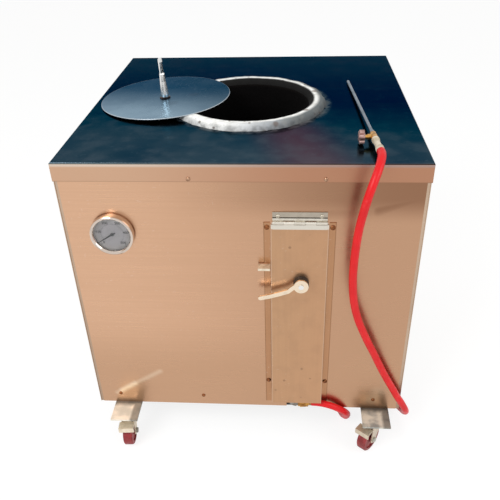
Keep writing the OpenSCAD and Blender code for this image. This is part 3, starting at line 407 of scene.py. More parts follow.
def put(tree, kind, wires=None, **settings):
    """Adds a node, sets it up, and feeds its inputs from sockets or plain values."""
    node = tree.nodes.new(kind)
    for name, value in settings.items():
        setattr(node, name, value)
    for key, value in (wires or {}).items():
        if isinstance(value, bpy.types.NodeSocket):
            tree.links.new(value, node.inputs[key])
        else:
            node.inputs[key].default_value = value
    return node


def calc(tree, operation, *values, clamp=False):
    """A sum, product or other function of numbers."""
    wires = dict(enumerate(values))
    return put(tree, "ShaderNodeMath", wires, operation=operation, use_clamp=clamp).outputs[0]


def times(tree, first, second):
    """A product."""
    return calc(tree, "MULTIPLY", first, second)


def plus(tree, first, second):
    """A sum."""
    return calc(tree, "ADD", first, second)


def most(tree, first, second):
    """The larger of two."""
    return calc(tree, "MAXIMUM", first, second)


def vector(tree, operation, *values, result="Vector"):
    """A function of vectors."""
    wires = dict(enumerate(values))
    return put(tree, "ShaderNodeVectorMath", wires, operation=operation).outputs[result]


def mapped(tree, value, low, high, to_low=0.0, to_high=1.0):
    """A value's range, smoothly carried to another range."""
    wires = {"Value": value, "From Min": low, "From Max": high, "To Min": to_low, "To Max": to_high}
    return put(tree, "ShaderNodeMapRange", wires, interpolation_type="SMOOTHSTEP").outputs["Result"]


def rgba(colour):
    """The colour with full cover. A socket stays as it is."""
    return colour if isinstance(colour, bpy.types.NodeSocket) else (*tuple(colour)[:3], 1.0)


def mixed(tree, factor, first, second):
    """One colour to another."""
    wires = {0: factor, 6: rgba(first), 7: rgba(second)}
    return put(tree, "ShaderNodeMix", wires, data_type="RGBA").outputs[2]


def cloud(tree, place, size, detail=3.0, roughness=0.5):
    """Noise whose features have that size in metres."""
    wires = {"Vector": place, "Scale": 1 / size, "Detail": detail, "Roughness": roughness}
    return put(tree, "ShaderNodeTexNoise", wires).outputs["Fac"]


def effect(name, **takes):
    """An empty shader group that takes a place and named values, and gives one mask."""
    tree = bpy.data.node_groups.new(name, "ShaderNodeTree")
    for label, value in {"Place": (0.0, 0.0, 0.0), **takes}.items():
        kind = "NodeSocketVector" if isinstance(value, tuple) else "NodeSocketFloat"
        socket = tree.interface.new_socket(name=label, in_out="INPUT", socket_type=kind)
        socket.default_value = value
    tree.interface.new_socket(name="Mask", in_out="OUTPUT", socket_type="NodeSocketFloat")
    given, end = put(tree, "NodeGroupInput").outputs, put(tree, "NodeGroupOutput").inputs
    return tree, given, lambda mask: tree.links.new(mask, end["Mask"])


def use(tree, name, **values):
    """Places a shared effect in a material with values of its own."""
    node = tree.nodes.new("ShaderNodeGroup")
    node.node_tree = bpy.data.node_groups[name]
    for key, value in values.items():
        socket = node.inputs[key.replace("_", " ").capitalize()]
        if isinstance(value, bpy.types.NodeSocket):
            tree.links.new(value, socket)
        else:
            socket.default_value = value
    return node.outputs["Mask"]


# Shared effects


def build_effects():
    """The effects that more than one finish uses."""
    start, one = (0.0, 0.0, 0.0), (1.0, 1.0, 1.0)

    tree, given, give = effect("Across", Way=UP, From=0.0, To=1.0)
    along = vector(tree, "DOT_PRODUCT", given["Place"], given["Way"], result="Value")
    give(mapped(tree, along, given["From"], given["To"]))

    tree, given, give = effect("Cloudy", Size=0.1, Low=0.4, High=0.6)
    scale = calc(tree, "DIVIDE", 1.0, given["Size"])
    wires = {"Vector": given["Place"], "Scale": scale, "Detail": 4.0}
    noise = put(tree, "ShaderNodeTexNoise", wires)
    give(mapped(tree, noise.outputs["Fac"], given["Low"], given["High"]))

    tree, given, give = effect("Grain", Stretch=one, Low=0.3, High=0.7)
    stretched = vector(tree, "MULTIPLY", given["Place"], given["Stretch"])
    wires = {"Vector": stretched, "Scale": 1.0, "Detail": 5.0, "Roughness": 0.6}
    noise = put(tree, "ShaderNodeTexNoise", wires)
    give(mapped(tree, noise.outputs["Fac"], given["Low"], given["High"]))

    tree, given, give = effect("Scratches", Size=0.1, Share=0.1)
    found = []
    for turn, seed in ((0.35, 1.0), (-0.8, 7.0), (1.9, 13.0)):
        wires = {"Vector": given["Place"], "Angle": turn, "Axis": (0.5, 0.5, 0.7)}
        turned = put(tree, "ShaderNodeVectorRotate", wires)
        thin = vector(tree, "MULTIPLY", turned.outputs[0], (1.0, 28.0, 28.0))
        moved = vector(tree, "ADD", thin, (seed, seed, seed))
        wires = {"Vector": moved, "Scale": calc(tree, "DIVIDE", 1.0, given["Size"]), "Detail": 1.0}
        noise = put(tree, "ShaderNodeTexNoise", wires).outputs["Fac"]
        low = calc(tree, "SUBTRACT", 0.80, given["Share"])
        found.append(mapped(tree, noise, low, plus(tree, low, 0.06)))
    give(most(tree, most(tree, found[0], found[1]), found[2]))

    tree, given, give = effect("Specks", Size=0.01, Share=0.3)
    scale = calc(tree, "DIVIDE", 1.0, given["Size"])
    cells = put(tree, "ShaderNodeTexVoronoi", {"Vector": given["Place"], "Scale": scale})
    pick = put(tree, "ShaderNodeSeparateColor", {0: cells.outputs["Color"]}).outputs[0]
    chosen = calc(tree, "LESS_THAN", pick, given["Share"])
    give(times(tree, chosen, mapped(tree, cells.outputs["Distance"], 0.42, 0.18)))

    tree, given, give = effect("Streak", Start=start, End=UP, Width=0.01)
    run = vector(tree, "SUBTRACT", given["End"], given["Start"])
    part = vector(tree, "SUBTRACT", given["Place"], given["Start"])
    squared = vector(tree, "DOT_PRODUCT", run, run, result="Value")
    dot = vector(tree, "DOT_PRODUCT", part, run, result="Value")
    foot = vector(tree, "SCALE", run)
    tree.links.new(calc(tree, "DIVIDE", dot, squared, clamp=True), foot.node.inputs["Scale"])
    gap = vector(tree, "DISTANCE", part, foot, result="Value")
    give(mapped(tree, calc(tree, "DIVIDE", gap, given["Width"]), 1.0, 0.0))

    tree, given, give = effect("Round mouth", Near=0.1, Far=0.2)
    flat = vector(tree, "MULTIPLY", vector(tree, "SUBTRACT", given["Place"], (*MOUTH, 0.0)), LEVEL)
    reach = vector(tree, "LENGTH", flat, result="Value")
    give(mapped(tree, reach, given["Near"], given["Far"]))

    tree, given, give = effect("Floor dust", Reach=0.1, Share=0.6)
    height = put(tree, "ShaderNodeSeparateXYZ", {0: given["Place"]}).outputs["Z"]
    near = mapped(tree, height, given["Reach"], 0.0)
    patch = mapped(tree, cloud(tree, given["Place"], 0.018, 5.0), 0.35, 0.7)
    give(times(tree, times(tree, near, patch), given["Share"]))


def seen(tree):
    """One where the camera looks, in a mirror or through glass too, and nought for other light."""
    rays = put(tree, "ShaderNodeLightPath").outputs
    return most(tree, rays["Is Camera Ray"],
                most(tree, rays["Is Glossy Ray"], rays["Is Transmission Ray"]))


class Skin:
    """A finish in the making: its material, tree, shader, place, tone and roughness so far."""

    def __init__(self, name, roughness, metallic=0.0, tone=None, **sockets):
        """A new material, with the shader's plain values set."""
        self.made = bpy.data.materials.new(name)
        self.made.use_nodes = True
        self.tree = self.made.node_tree
        self.shader = self.tree.nodes["Principled BSDF"]
        for key, value in {"Roughness": roughness, "Metallic": metallic, **sockets}.items():
            self.shader.inputs[key.replace("_", " ")].default_value = value
        self.place = put(self.tree, "ShaderNodeTexCoord").outputs["Object"]
        self.rough, self.tone = roughness, tone

    def times(self, first, second):
        """A product."""
        return times(self.tree, first, second)

    def plus(self, first, second):
        """A sum."""
        return plus(self.tree, first, second)

    def most(self, first, second):
        """The larger of two."""
        return most(self.tree, first, second)

    def mix(self, factor, first, second):
        """One colour to another."""
        return mixed(self.tree, factor, first, second)

    def cloud(self, size, detail=3.0, roughness=0.5, at=None):
        """Noise whose features have that size."""
        return cloud(self.tree, at or self.place, size, detail, roughness)

    def across(self, low, high, way=UP):
        """Mask that rises from low to high along a way."""
        return use(self.tree, "Across", place=self.place, way=way, to=high, **{"from": low})

    def cloudy(self, size, low, high, at=None):
        """Mask in soft patches."""
        return use(self.tree, "Cloudy", place=at or self.place, size=size, low=low, high=high)

    def grain(self, stretch, low=0.35, high=0.65, at=None):
        """Mask in fine lines."""
        return use(self.tree, "Grain", place=at or self.place, stretch=stretch, low=low, high=high)

    def scratches(self, size, share, at=None):
        """Mask in thin scratches."""
        return use(self.tree, "Scratches", place=at or self.place, size=size, share=share)

    def specks(self, size, share):
        """Mask in round specks."""
        return use(self.tree, "Specks", place=self.place, size=size, share=share)

    def streak(self, start, end, width):
        """Mask along a line from start to end."""
        return use(self.tree, "Streak", place=self.place, start=start, end=end, width=width)

    def round_mouth(self, near, far):
        """Mask that rises from one distance from the mouth's axis to another."""
        return use(self.tree, "Round mouth", place=self.place, near=near, far=far)

    def lay(self, mask, colour, amount=None):
        """Lays a colour over the tone where the mask is, at full strength or at an amount."""
        factor = mask if amount is None else self.times(mask, amount)
        self.tone = self.mix(factor, self.tone, colour)

    def rub(self, mask, amount):
        """Raises the roughness by an amount where the mask is."""
        self.rough = self.plus(self.times(mask, amount), self.rough)

    def dust(self, reach, share, colour, amount):
        """Dust near the floor, which is rougher too."""
        grime = use(self.tree, "Floor dust", place=self.place, reach=reach, share=share)
        self.lay(grime, colour)
        self.rub(grime, amount)

    def outwards(self, centre):
        """The level way from an upright axis to the place."""
        away = vector(self.tree, "SUBTRACT", self.place, (*centre, 0.0))
        return vector(self.tree, "MULTIPLY", away, LEVEL)

    def done(self, height=None, depth=0.001, metallic=None):
        """Joins tone, roughness, metal and a height through a bump to the shader."""
        wires = (("Base Color", self.tone), ("Roughness", self.rough), ("Metallic", metallic))
        for socket, value in wires:
            if isinstance(value, bpy.types.NodeSocket):
                self.tree.links.new(value, self.shader.inputs[socket])
        if height is not None:
            wires = {"Height": height, "Distance": depth, "Strength": 1.0}
            bump = put(self.tree, "ShaderNodeBump", wires)
            self.tree.links.new(bump.outputs[0], self.shader.inputs["Normal"])
        return self.made


# Finishes


def polished_sheet(name, base, dark, shine, waves, grain, seed=0.0):
    """Polished sheet: cloudy tone, faint rolled grain, scratches, wiped smears and soft waves."""
    skin = Skin(name, shine, 1.0, base)
    moved = vector(skin.tree, "ADD", skin.place, (seed, seed, seed))
    skin.lay(skin.cloudy(0.22, 0.3, 0.7, moved), dark)
    lines = skin.grain(grain, at=moved)
    skin.lay(lines, (0.0, 0.0, 0.0), 0.035)
    skin.lay(skin.scratches(0.11, 0.07, moved), (0.9, 0.84, 0.78), 0.14)
    skin.rub(skin.cloudy(0.07, 0.45, 0.75, moved), 0.07)
    skin.rub(lines, 0.03)
    skin.done(skin.plus(skin.cloud(0.28, 1.0, at=moved), skin.times(lines, 0.002)), waves)
    return skin


def front_sheet(look):
    """The front sheet: paler on the left and darker on the right and at the foot, as painted
    reflection;
    painted shade and dark reflection bands under the top's edge on the right; a crease low on the
    left with a painted highlight along it, and a painted highlight by the right caster's bolt."""
    skin = polished_sheet("front_sheet", look.left, look.left, look.shine, look.waves,
                          (3.0, 3.0, 240.0))
    # Painted reflection: the sheet darkens from left to right
    skin.lay(skin.across(-0.28, 0.36, (1.0, 0.0, 0.12)), look.right)
    # Painted reflection of the shaded floor: darker at the foot
    skin.lay(skin.across(-0.42, -0.22, DOWN), look.low, 0.75)
    # Painted shade under the top's edge, stronger to the right, and painted dark reflection bands
    # below it
    under = skin.across(0.672, 0.742)
    dark = skin.times(skin.times(under, skin.across(-0.24, 0.4, RIGHT)), 0.6)
    for start, end, width, strength in (
            ((0.10, FRONT_Y, 0.700), (0.30, FRONT_Y, 0.712), 0.028, 0.34),
            ((0.30, FRONT_Y, 0.712), (0.41, FRONT_Y, 0.745), 0.026, 0.6)):
        dark = skin.most(dark, skin.times(skin.streak(start, end, width), strength))
    skin.lay(dark, shade(108, 68, 46))
    # Painted highlights: along the crease, brighter at its lower end, and a bright spot by the
    # right caster's bolt; the crease also dents the sheet
    crease = skin.streak((-0.353, FRONT_Y, 0.141), (-0.2285, FRONT_Y, 0.223), 0.012)
    bright = skin.streak((-0.341, FRONT_Y, 0.149), (-0.30, FRONT_Y, 0.177), 0.014)
    spot = skin.streak((0.332, FRONT_Y, 0.14), (0.345, FRONT_Y, 0.165), 0.03)
    glint = skin.most(skin.times(crease, 0.3), skin.times(spot, 0.2))
    skin.lay(skin.most(glint, skin.times(bright, 0.6)), shade(240, 222, 196))
    bump = skin.shader.inputs["Normal"].links[0].from_node
    waves = bump.inputs["Height"].links[0].from_socket
    skin.tree.links.new(skin.plus(waves, skin.times(crease, 0.35)), bump.inputs["Height"])
    return skin.done()


def top_plate(look):
    """The top: dark blue polished plate, paler in front, warm stain at the right front, cement
    smears round the mouth, a dark fold, and on the turned-down edge the sheet's colour with painted
    reflection, paler on the left, a painted highlight along its upper part and painted shade along
    its lower edge."""
    skin = Skin("top_plate", 0.15, 1.0, look.back, Specular_Tint=(0.34, 0.38, 0.41, 1.0))
    forward = skin.across(-0.04, 0.36, (-0.15, -1.0, 0.0))
    skin.lay(forward, look.front)
    skin.lay(skin.cloudy(0.16, 0.4, 0.7), shade(12, 40, 62), 0.3)
    skin.lay(skin.streak((0.11, -0.24, TOP_Z), (0.16, -0.40, TOP_Z), 0.12), look.rose, 0.62)
    skin.lay(skin.times(skin.cloudy(0.045, 0.4, 0.7), forward), shade(104, 112, 118), 0.24)
    skin.lay(skin.grain((3.0, 170.0, 3.0), 0.35, 0.75), shade(84, 106, 122), 0.05)
    marks = skin.scratches(0.12, 0.08)
    skin.lay(marks, shade(130, 148, 160), 0.14)
    smear = skin.times(skin.round_mouth(0.216, 0.197), skin.cloudy(0.03, 0.35, 0.7))
    skin.lay(smear, shade(120, 118, 114), 0.5)
    level = skin.across(TOP_Z - 0.0014, TOP_Z - 0.0004)
    fold = skin.across(TOP_Z - 0.0036, TOP_Z - 0.0026)
    # Turned-down edge: painted reflection, paler on the left and darker to the right
    side = skin.across(-0.3, 0.2, RIGHT)
    skirt = skin.mix(side, shade(202, 164, 136), shade(178, 131, 104))
    # Painted highlight along the upper part of the turned-down edge
    rim = skin.times(skin.across(TOP_Z - 0.0115, TOP_Z - 0.0062), 0.85)
    skirt = skin.mix(rim, skirt, skin.mix(side, shade(216, 200, 184), shade(166, 144, 136)))
    # Painted shade along the turned-down edge's lower rim
    lower = skin.times(skin.across(TOP_Z - 0.0415, TOP_Z - 0.0445), 0.5)
    skirt = skin.mix(lower, skirt, shade(120, 88, 66))
    whole = skin.mix(fold, skirt, skin.mix(side, shade(62, 68, 68), shade(40, 30, 30)))
    skin.tone = skin.mix(level, whole, skin.tone)
    skin.rub(skin.cloudy(0.05, 0.4, 0.75), 0.08)
    skin.rub(smear, 0.5)
    skin.rub(calc(skin.tree, "SUBTRACT", 1.0, level), 0.24)
    height = skin.plus(skin.cloud(0.3, 1.0), skin.times(marks, -0.02))
    return skin.done(height, 0.0008, calc(skin.tree, "SUBTRACT", 1.0, skin.times(smear, 0.6)))


def side_sheet(look):
    """Side and rear sheets, darker towards the foot."""
    skin = polished_sheet("side_sheet", look.side, shade(178, 152, 130), look.shine + 0.05,
                          look.waves, (3.0, 3.0, 220.0), 3.0)
    skin.lay(skin.across(-0.4, -0.12, DOWN), shade(140, 112, 90), 0.35)
    return skin.done()


def edged(skin, node, inset, reach, colour, amount):
    """A line of another tone along the left and the right edge of a sheet."""
    low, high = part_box(node)
    for way, end in ((LEFT, -low.x), (RIGHT, high.x)):
        skin.lay(skin.across(end - reach, end - inset, way), colour, amount)


def door_sheet(look):
    """Door: a little greener and darker, rubbed lengthwise, with hand marks round the latch, the
    lever's painted reflection, the hinge's leaf at the top, and painted highlights along its cut
    edges."""
    skin = polished_sheet("door_sheet", look.door, shade(190, 150, 116), look.shine + 0.06,
                          look.waves * 0.6, (150.0, 3.0, 3.0), 5.0)
    low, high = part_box("door_panel")
    skin.lay(skin.across(low.x, high.x, RIGHT), shade(192, 148, 114), 0.5)
    latch_low, latch_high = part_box("latch_collar")
    x, y, z = (latch_low.x + latch_high.x) / 2, low.y, (latch_low.z + latch_high.z) / 2
    hands = skin.streak((x, y, z), (x - 0.05, y, z - 0.03), 0.09)
    skin.lay(skin.times(hands, skin.cloudy(0.03, 0.3, 0.7)), shade(140, 104, 78), 0.2)
    skin.lay(skin.specks(0.011, 0.02), shade(110, 84, 66), 0.45)
    skin.lay(skin.cloudy(0.035, 0.42, 0.7), shade(158, 124, 98), 0.16)
    # Painted reflection of the lever: a pale streak with a darker line under it
    for start, end, width, colour, amount in (
            (-0.005, 0.007, 0.005, shade(104, 74, 52), 0.45),
            (0.004, 0.016, 0.007, shade(236, 216, 190), 0.75)):
        line = skin.streak((x - 0.064, y, z + start), (x - 0.024, y, z + end), width)
        skin.lay(line, colour, amount)
    skin.lay(skin.across(0.6634, LEAF_Z), look.leaf)
    # Painted highlight along the left and right cut edges
    edged(skin, "door_panel", 0.0004, 0.0022, look.edge, 0.25)
    return skin.done()


def strip_sheet(look):
    """Strips beside the door: brownish, with a dark line along each edge."""
    skin = polished_sheet("strip_sheet", look.strip, shade(178, 134, 100), 0.3, 0.0004,
                          (150.0, 3.0, 3.0), 9.0)
    edged(skin, "side_strips", 0.0006, 0.0026, shade(112, 80, 54), 0.5)
    return skin.done()


def patched(name, roughness, metallic, size):
    """The start of a plated finish, and its patches."""
    skin = Skin(name, roughness, metallic)
    return skin, skin.cloudy(size, 0.35, 0.68)


def worn(skin, patch, size):
    """Ends a plated finish with rubbed scratches and patches of duller metal."""
    skin.lay(skin.scratches(size, 0.1), RUBBED, 0.2)
    skin.rub(patch, 0.12)


def plating(name, colour, dark, roughness, metallic=1.0, dust=0.0, size=0.012, right=None):
    """Plated or cast metal: mottled tone, fine pits, dust near the floor where it asks, and where
    it is given another tone to the right of the middle, which is painted shade."""
    skin, patch = patched(name, roughness, metallic, size)
    skin.tone = skin.mix(patch, colour, dark)
    if right:
        # Painted shade: a darker tone to the right of the middle
        skin.lay(skin.across(-0.15, 0.15, RIGHT), skin.mix(patch, right, dark))
    worn(skin, patch, size * 2.5)
    if dust:
        skin.dust(0.13, dust, shade(120, 108, 92), 0.4)
    skin.done(skin.cloud(size * 0.12), 0.00008)
    return skin


def plated(*values, **more):
    """A plating that is ready to use."""
    return plating(*values, **more).made


def hinge_plating(look):
    """Hinge: pale plating on the barrel, a greener tone on the fixed leaf above it, and a dark line
    between the two, the painted shadow of the gap."""
    skin, patch = patched("hinge_plating", 0.26, 1.0, 0.015)
    above = skin.across(0.6902, 0.6912)
    # Painted shadow: a dark line in the gap under the fixed leaf's fold
    line = skin.across(-0.6945, -0.6925, DOWN)
    skin.tone = skin.mix(skin.times(patch, 0.4), look.leaf, shade(186, 176, 160))
    leaf = skin.mix(skin.times(patch, 0.5), shade(176, 166, 152), shade(160, 152, 138))
    skin.lay(above, skin.mix(line, leaf, shade(40, 32, 26)))
    worn(skin, patch, 0.03)
    return skin.done(skin.cloud(0.0015), 0.00008)


def keeper_plating(look):
    """Keeper: pale plating on the hook, and the strip's own brown on the plate behind it."""
    skin, patch = patched("keeper_plating", 0.3, 0.6, 0.012)
    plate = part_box("side_strips")[0].y
    skin.tone = skin.mix(patch, shade(226, 214, 192), shade(196, 180, 156))
    skin.lay(skin.across(plate - 0.003, plate - 0.0014, BACK),
             skin.mix(patch, look.strip, shade(170, 128, 96)))
    worn(skin, patch, 0.03)
    return skin.done(skin.cloud(0.0015), 0.00008)


def screw_metal(look):
    """Screws: rusty beside the door, sheet-coloured on the turned-down edge, pale on the hinge."""
    skin = Skin("screw_heads", 0.3, 0.9)
    patch = skin.cloudy(0.004, 0.35, 0.65)
    skin.tone = skin.mix(patch, look.screw, shade(92, 56, 34))
    skin.lay(skin.across(0.69, 0.70), skin.mix(patch, shade(186, 150, 124), shade(140, 106, 82)))
    leaf = skin.times(skin.across(0.685, 0.69), skin.across(-0.72, -0.71, DOWN))
    skin.lay(leaf, skin.mix(patch, shade(196, 188, 172), shade(168, 160, 144)))
    skin.rub(patch, 0.2)
    return skin.done(skin.cloud(0.001), 0.0001)


def caster_zinc(look):
    """Zinc of the caster plates: dull and patched; greyer on the right, which is painted shade;
    dark close to the case with grime and painted shadow, and dark with painted shadow along the
    right side of each front plate."""
    skin = plating("plate_zinc", look.zinc, shade(216, 210, 194), 0.42, 0.35, 0.2, 0.03,
                   shade(150, 152, 146))
    # Grime and painted shadow close to the case
    close = skin.across(FRONT_Y - 0.022, FRONT_Y - 0.002, BACK)
    # Painted shadow along the right side of each front plate
    left = skin.times(skin.across(-0.314, -0.306, RIGHT), skin.across(0.2, 0.28, LEFT))
    side = skin.most(left, skin.across(0.352, 0.362, RIGHT))
    # This mask holds painted shadow as well as grime
    grime = skin.most(skin.times(close, 0.85), skin.times(side, 0.65))
    skin.lay(skin.times(grime, skin.across(0.2, 0.3, FORWARD)), shade(34, 31, 27))
    return skin.done()


def polished(name, colour, roughness=0.07):
    """Bright polished metal with faint rubbing and finger smears."""
    skin = Skin(name, roughness, 1.0, colour)
    smear = skin.cloudy(0.02, 0.45, 0.75)
    skin.lay(smear, shade(150, 146, 142), 0.2)
    lines = skin.grain((60.0, 60.0, 900.0))
    skin.rub(smear, 0.12)
    skin.rub(lines, 0.04)
    return skin.done(lines, 0.00002)


def moulded(name, colour, dark, roughness, dust=0.0, size=0.02, grain=0.0015):
    """Moulded plastic or rubber: fine grain, uneven tone, scuffs, and dust where it asks."""
    skin = Skin(name, roughness, 0.0, colour)
    patch = skin.cloudy(size, 0.35, 0.7)
    skin.lay(patch, dark)
    skin.lay(skin.scratches(size * 1.4, 0.1), (0.55, 0.5, 0.46), 0.2)
    skin.rub(patch, 0.15)
    if dust:
        skin.dust(0.09, dust, shade(126, 112, 96), 0.3)
    return skin.done(skin.cloud(grain, 2.0), 0.00006)


def cement(look):
    """Ring cement: off-white along its ridge, grey down its outer flank, palest at the front left
    and darker on the right, all painted shade; sooty at the mouth, a few brown specks, rough."""
    skin = Skin("ring_cement", 0.9, 0.0, Specular_IOR_Level=0.12)
    # Painted shade down the outer flank: pale at the front left, grey, darkest on the right
    slant = (1.0, 0.3, 0.0)
    flank = skin.mix(skin.across(-0.14, 0.0, slant), shade(255, 255, 252), shade(160, 166, 172))
    flank = skin.mix(skin.across(-0.03, 0.08, slant), flank, look.cement_dark)
    skin.tone = skin.mix(skin.times(skin.round_mouth(0.173, 0.185), 0.9), look.cement, flank)
    skin.lay(skin.cloudy(0.022, 0.4, 0.72), shade(150, 146, 138), 0.3)
    skin.lay(skin.cloudy(0.006, 0.5, 0.8), shade(120, 112, 102), 0.2)
    for size, share_of, amount in ((0.012, 0.06, 0.7), (0.024, 0.08, 0.6)):
        skin.lay(skin.specks(size, share_of), look.speck, amount)
    broken = mapped(skin.tree, skin.cloudy(0.018, 0.3, 0.65), 0.0, 1.0, 0.4)
    skin.lay(skin.times(skin.round_mouth(0.186, 0.197), broken), shade(78, 80, 82), 0.6)
    skin.lay(skin.round_mouth(0.172, 0.165), shade(5, 4, 4), 0.99)
    fine = skin.times(skin.cloud(0.003, 4.0), 0.3)
    return skin.done(skin.plus(skin.cloud(0.014, 5.0, 0.6), fine), 0.0011)


def pot_clay(look):
    """Clay pot: bare clay outside, black soot on the faces that look to its axis, grey at the
    rim."""
    skin = Skin("pot_clay", 0.95, 0.0, Specular_IOR_Level=0.1)
    normal = put(skin.tree, "ShaderNodeNewGeometry").outputs["Normal"]
    out = vector(skin.tree, "NORMALIZE", skin.outwards(MOUTH))
    facing = vector(skin.tree, "DOT_PRODUCT", out, normal, result="Value")
    neck = skin.times(skin.round_mouth(0.235, 0.2), mapped(skin.tree, facing, 0.7, 0.5))
    inner = skin.most(mapped(skin.tree, facing, 0.15, -0.05), neck)
    patch = skin.cloudy(0.06, 0.3, 0.7)
    bare = skin.mix(patch, look.clay, shade(150, 92, 64))
    bare = skin.mix(skin.specks(0.012, 0.2), bare, shade(96, 60, 42))
    soot = skin.mix(skin.times(patch, 0.6), look.soot, shade(8, 6, 6))
    rim = skin.times(skin.across(TOP_Z - 0.008, TOP_Z + 0.002), 0.08)
    skin.tone = skin.mix(inner, bare, skin.mix(rim, soot, shade(70, 60, 54)))
    return skin.done(skin.plus(skin.cloud(0.02, 6.0, 0.6), skin.cloud(0.09, 2.0)), 0.003)


def lid_sheet(look):
    """Lid: blue polished disc, pale in front on the left, turned rings, dents, scratches, and a
    painted highlight along its edge.
    """
    skin = Skin("lid_sheet", 0.26, 1.0, look.lid_back, Specular_Tint=(0.42, 0.48, 0.54, 1.0))
    skin.lay(skin.across(-0.03, 0.2, (-0.2, -0.95, 0.0)), look.lid_front)
    skin.lay(skin.across(-0.26, -0.05, (1.0, 0.25, 0.0)), shade(40, 54, 62), 0.35)
    reach = vector(skin.tree, "LENGTH", skin.outwards(LID_MIDDLE), result="Value")
    along = put(skin.tree, "ShaderNodeCombineXYZ", {"X": skin.times(reach, 700.0)}).outputs[0]
    wires = {"Vector": along, "Scale": 1.0, "Detail": 3.0}
    rings = put(skin.tree, "ShaderNodeTexNoise", wires).outputs["Fac"]
    skin.lay(rings, shade(30, 44, 58), 0.1)
    patch = skin.cloudy(0.08, 0.42, 0.72)
    skin.lay(patch, shade(70, 96, 118), 0.3)
    skin.lay(skin.scratches(0.09, 0.12), shade(176, 190, 200), 0.16)
    skin.lay(skin.specks(0.05, 0.1), shade(70, 60, 60), 0.15)
    # Painted highlight along the lid's edge
    skin.lay(mapped(skin.tree, reach, 0.1675, 0.1695), shade(206, 212, 216), 0.75)
    skin.rub(patch, 0.08)
    return skin.done(skin.plus(skin.cloud(0.1, 1.5), skin.times(rings, 0.02)), 0.0016)


def hose_rubber(look):
    """Red hose: glossy, deeper red in long soft patches, a painted mottled highlight in pale pink
    patches, dust where it lies low.
    """
    skin = Skin("hose_rubber", 0.38, 0.0, look.red, Coat_Weight=0.05, Coat_Roughness=0.3,
                Specular_IOR_Level=0.27)
    patch = skin.cloudy(0.05, 0.35, 0.7)
    skin.lay(patch, look.deep, 0.6)
    # Painted highlight: pale pink mottling
    skin.lay(skin.cloudy(0.016, 0.6, 0.85), shade(246, 120, 118), 0.2)
    grime = use(skin.tree, "Floor dust", place=skin.place, reach=0.05, share=0.5)
    skin.lay(grime, shade(120, 84, 72))
    skin.rub(patch, 0.12)
    return skin.done(skin.cloud(0.0022, 2.0), 0.0001)


def dial_card(look):
    """Dial face: matt printed card, a little yellowed at its edge."""
    skin = Skin("dial_card", 0.55, 0.0, look.face)
    out = vector(skin.tree, "DISTANCE", skin.place, GAUGE, result="Value")
    skin.lay(mapped(skin.tree, out, 0.025, 0.044, 0.0, 0.35), shade(190, 180, 168))
    skin.lay(skin.cloudy(0.012, 0.4, 0.8), shade(170, 164, 160), 0.12)
    return skin.done(skin.cloud(0.0006, 2.0), 0.00002)


def gauge_window():
    """Window glass with a faint film of grease."""
    skin = Skin("gauge_window", 0.01, 0.0, (0.97, 0.985, 0.98), IOR=1.45, Transmission_Weight=1.0)
    film = skin.cloudy(0.015, 0.45, 0.8)
    skin.lay(film, (0.86, 0.85, 0.82), 0.1)
    skin.rub(film, 0.03)
    return skin.done()


def mineral_wool():
    """Loose wool: pale fibres over a darker mat."""
    skin = Skin("mineral_wool", 0.95, 0.0, shade(206, 198, 176), Sheen_Weight=0.3)
    fibre = skin.grain((500.0, 60.0, 300.0))
    tuft = skin.cloudy(0.03, 0.3, 0.7)
    skin.lay(fibre, shade(160, 148, 124))
    skin.lay(tuft, shade(186, 172, 140), 0.4)
    return skin.done(skin.plus(tuft, skin.times(fibre, 0.3)), 0.003)


def sooted(name, colour, dark, soot, metallic=0.6, roughness=0.5):
    """Plain iron or sheet in the fire: brown heat colours, dark scale and soot in soft patches."""
    skin = Skin(name, roughness, metallic, colour)
    skin.lay(skin.cloudy(0.05, 0.35, 0.65), dark)
    scale = skin.cloudy(0.012, 0.45, 0.7)
    skin.lay(scale, shade(24, 20, 18), soot)
    skin.rub(scale, 0.35)
    return skin.done(skin.cloud(0.004, 5.0, 0.6), 0.0005)


# Operators


class TandoorStep(bpy.types.Operator):
    """One step of dressing the tandoor."""

    bl_options = {"REGISTER", "UNDO"}

    def execute(self, context):
        """Makes the step's pieces and finishes."""
        self.make(context.scene)
        return {"FINISHED"}


class TANDOOR_OT_camera(TandoorStep):
    """Sets the camera to the photograph's view"""

    bl_idname = "tandoor.camera"
    bl_label = "Camera"

    def make(self, scene):
        """The view line comes from the turn and tilt. The roll turns the other axes about it."""
        look = scene.tandoor_stage
        turn, tilt, roll = -look.yaw, look.pitch, look.roll
        line = np.array((math.sin(turn) * math.cos(tilt), math.cos(turn) * math.cos(tilt),
                         -math.sin(tilt)))
        level = np.array((math.cos(turn), -math.sin(turn), 0.0))
        upright = np.cross(level, line)
        right = math.cos(roll) * level + math.sin(roll) * upright
        up = math.cos(roll) * upright - math.sin(roll) * level
        camera = bpy.data.cameras.new("camera")
        camera.lens, camera.sensor_width = look.lens, 36
        scene.camera = placed("camera", camera, look.place, right, up, -line)


class TANDOOR_OT_hose(TandoorStep):
    """Makes the gas hose from the wand to the elbow under the door"""

    bl_idname = "tandoor.hose"
    bl_label = "Hose"

    def make(self, scene):
        """One open line through the route, as thick as the hose, with closed ends."""
        look = scene.tandoor_hose
        line = smooth_route(HOSE_ROUTE, look.between)
        curve = bpy.data.curves.new("hose", "CURVE")
        curve.dimensions = "3D"
        curve.bevel_depth = look.diameter / 2
        curve.bevel_resolution = 6
        curve.use_fill_caps = True
        spline = curve.splines.new("POLY")
        spline.points.add(len(line) - 1)
        spline.points.foreach_set("co", np.column_stack((line, np.ones(len(line)))).ravel())
        spline.use_smooth = True
        curve.materials.append(hose_rubber(look))
        hose = bpy.data.objects.new("hose", curve)
        scene.collection.objects.link(hose)
        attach(hose, "root")
        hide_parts("gas_hose")


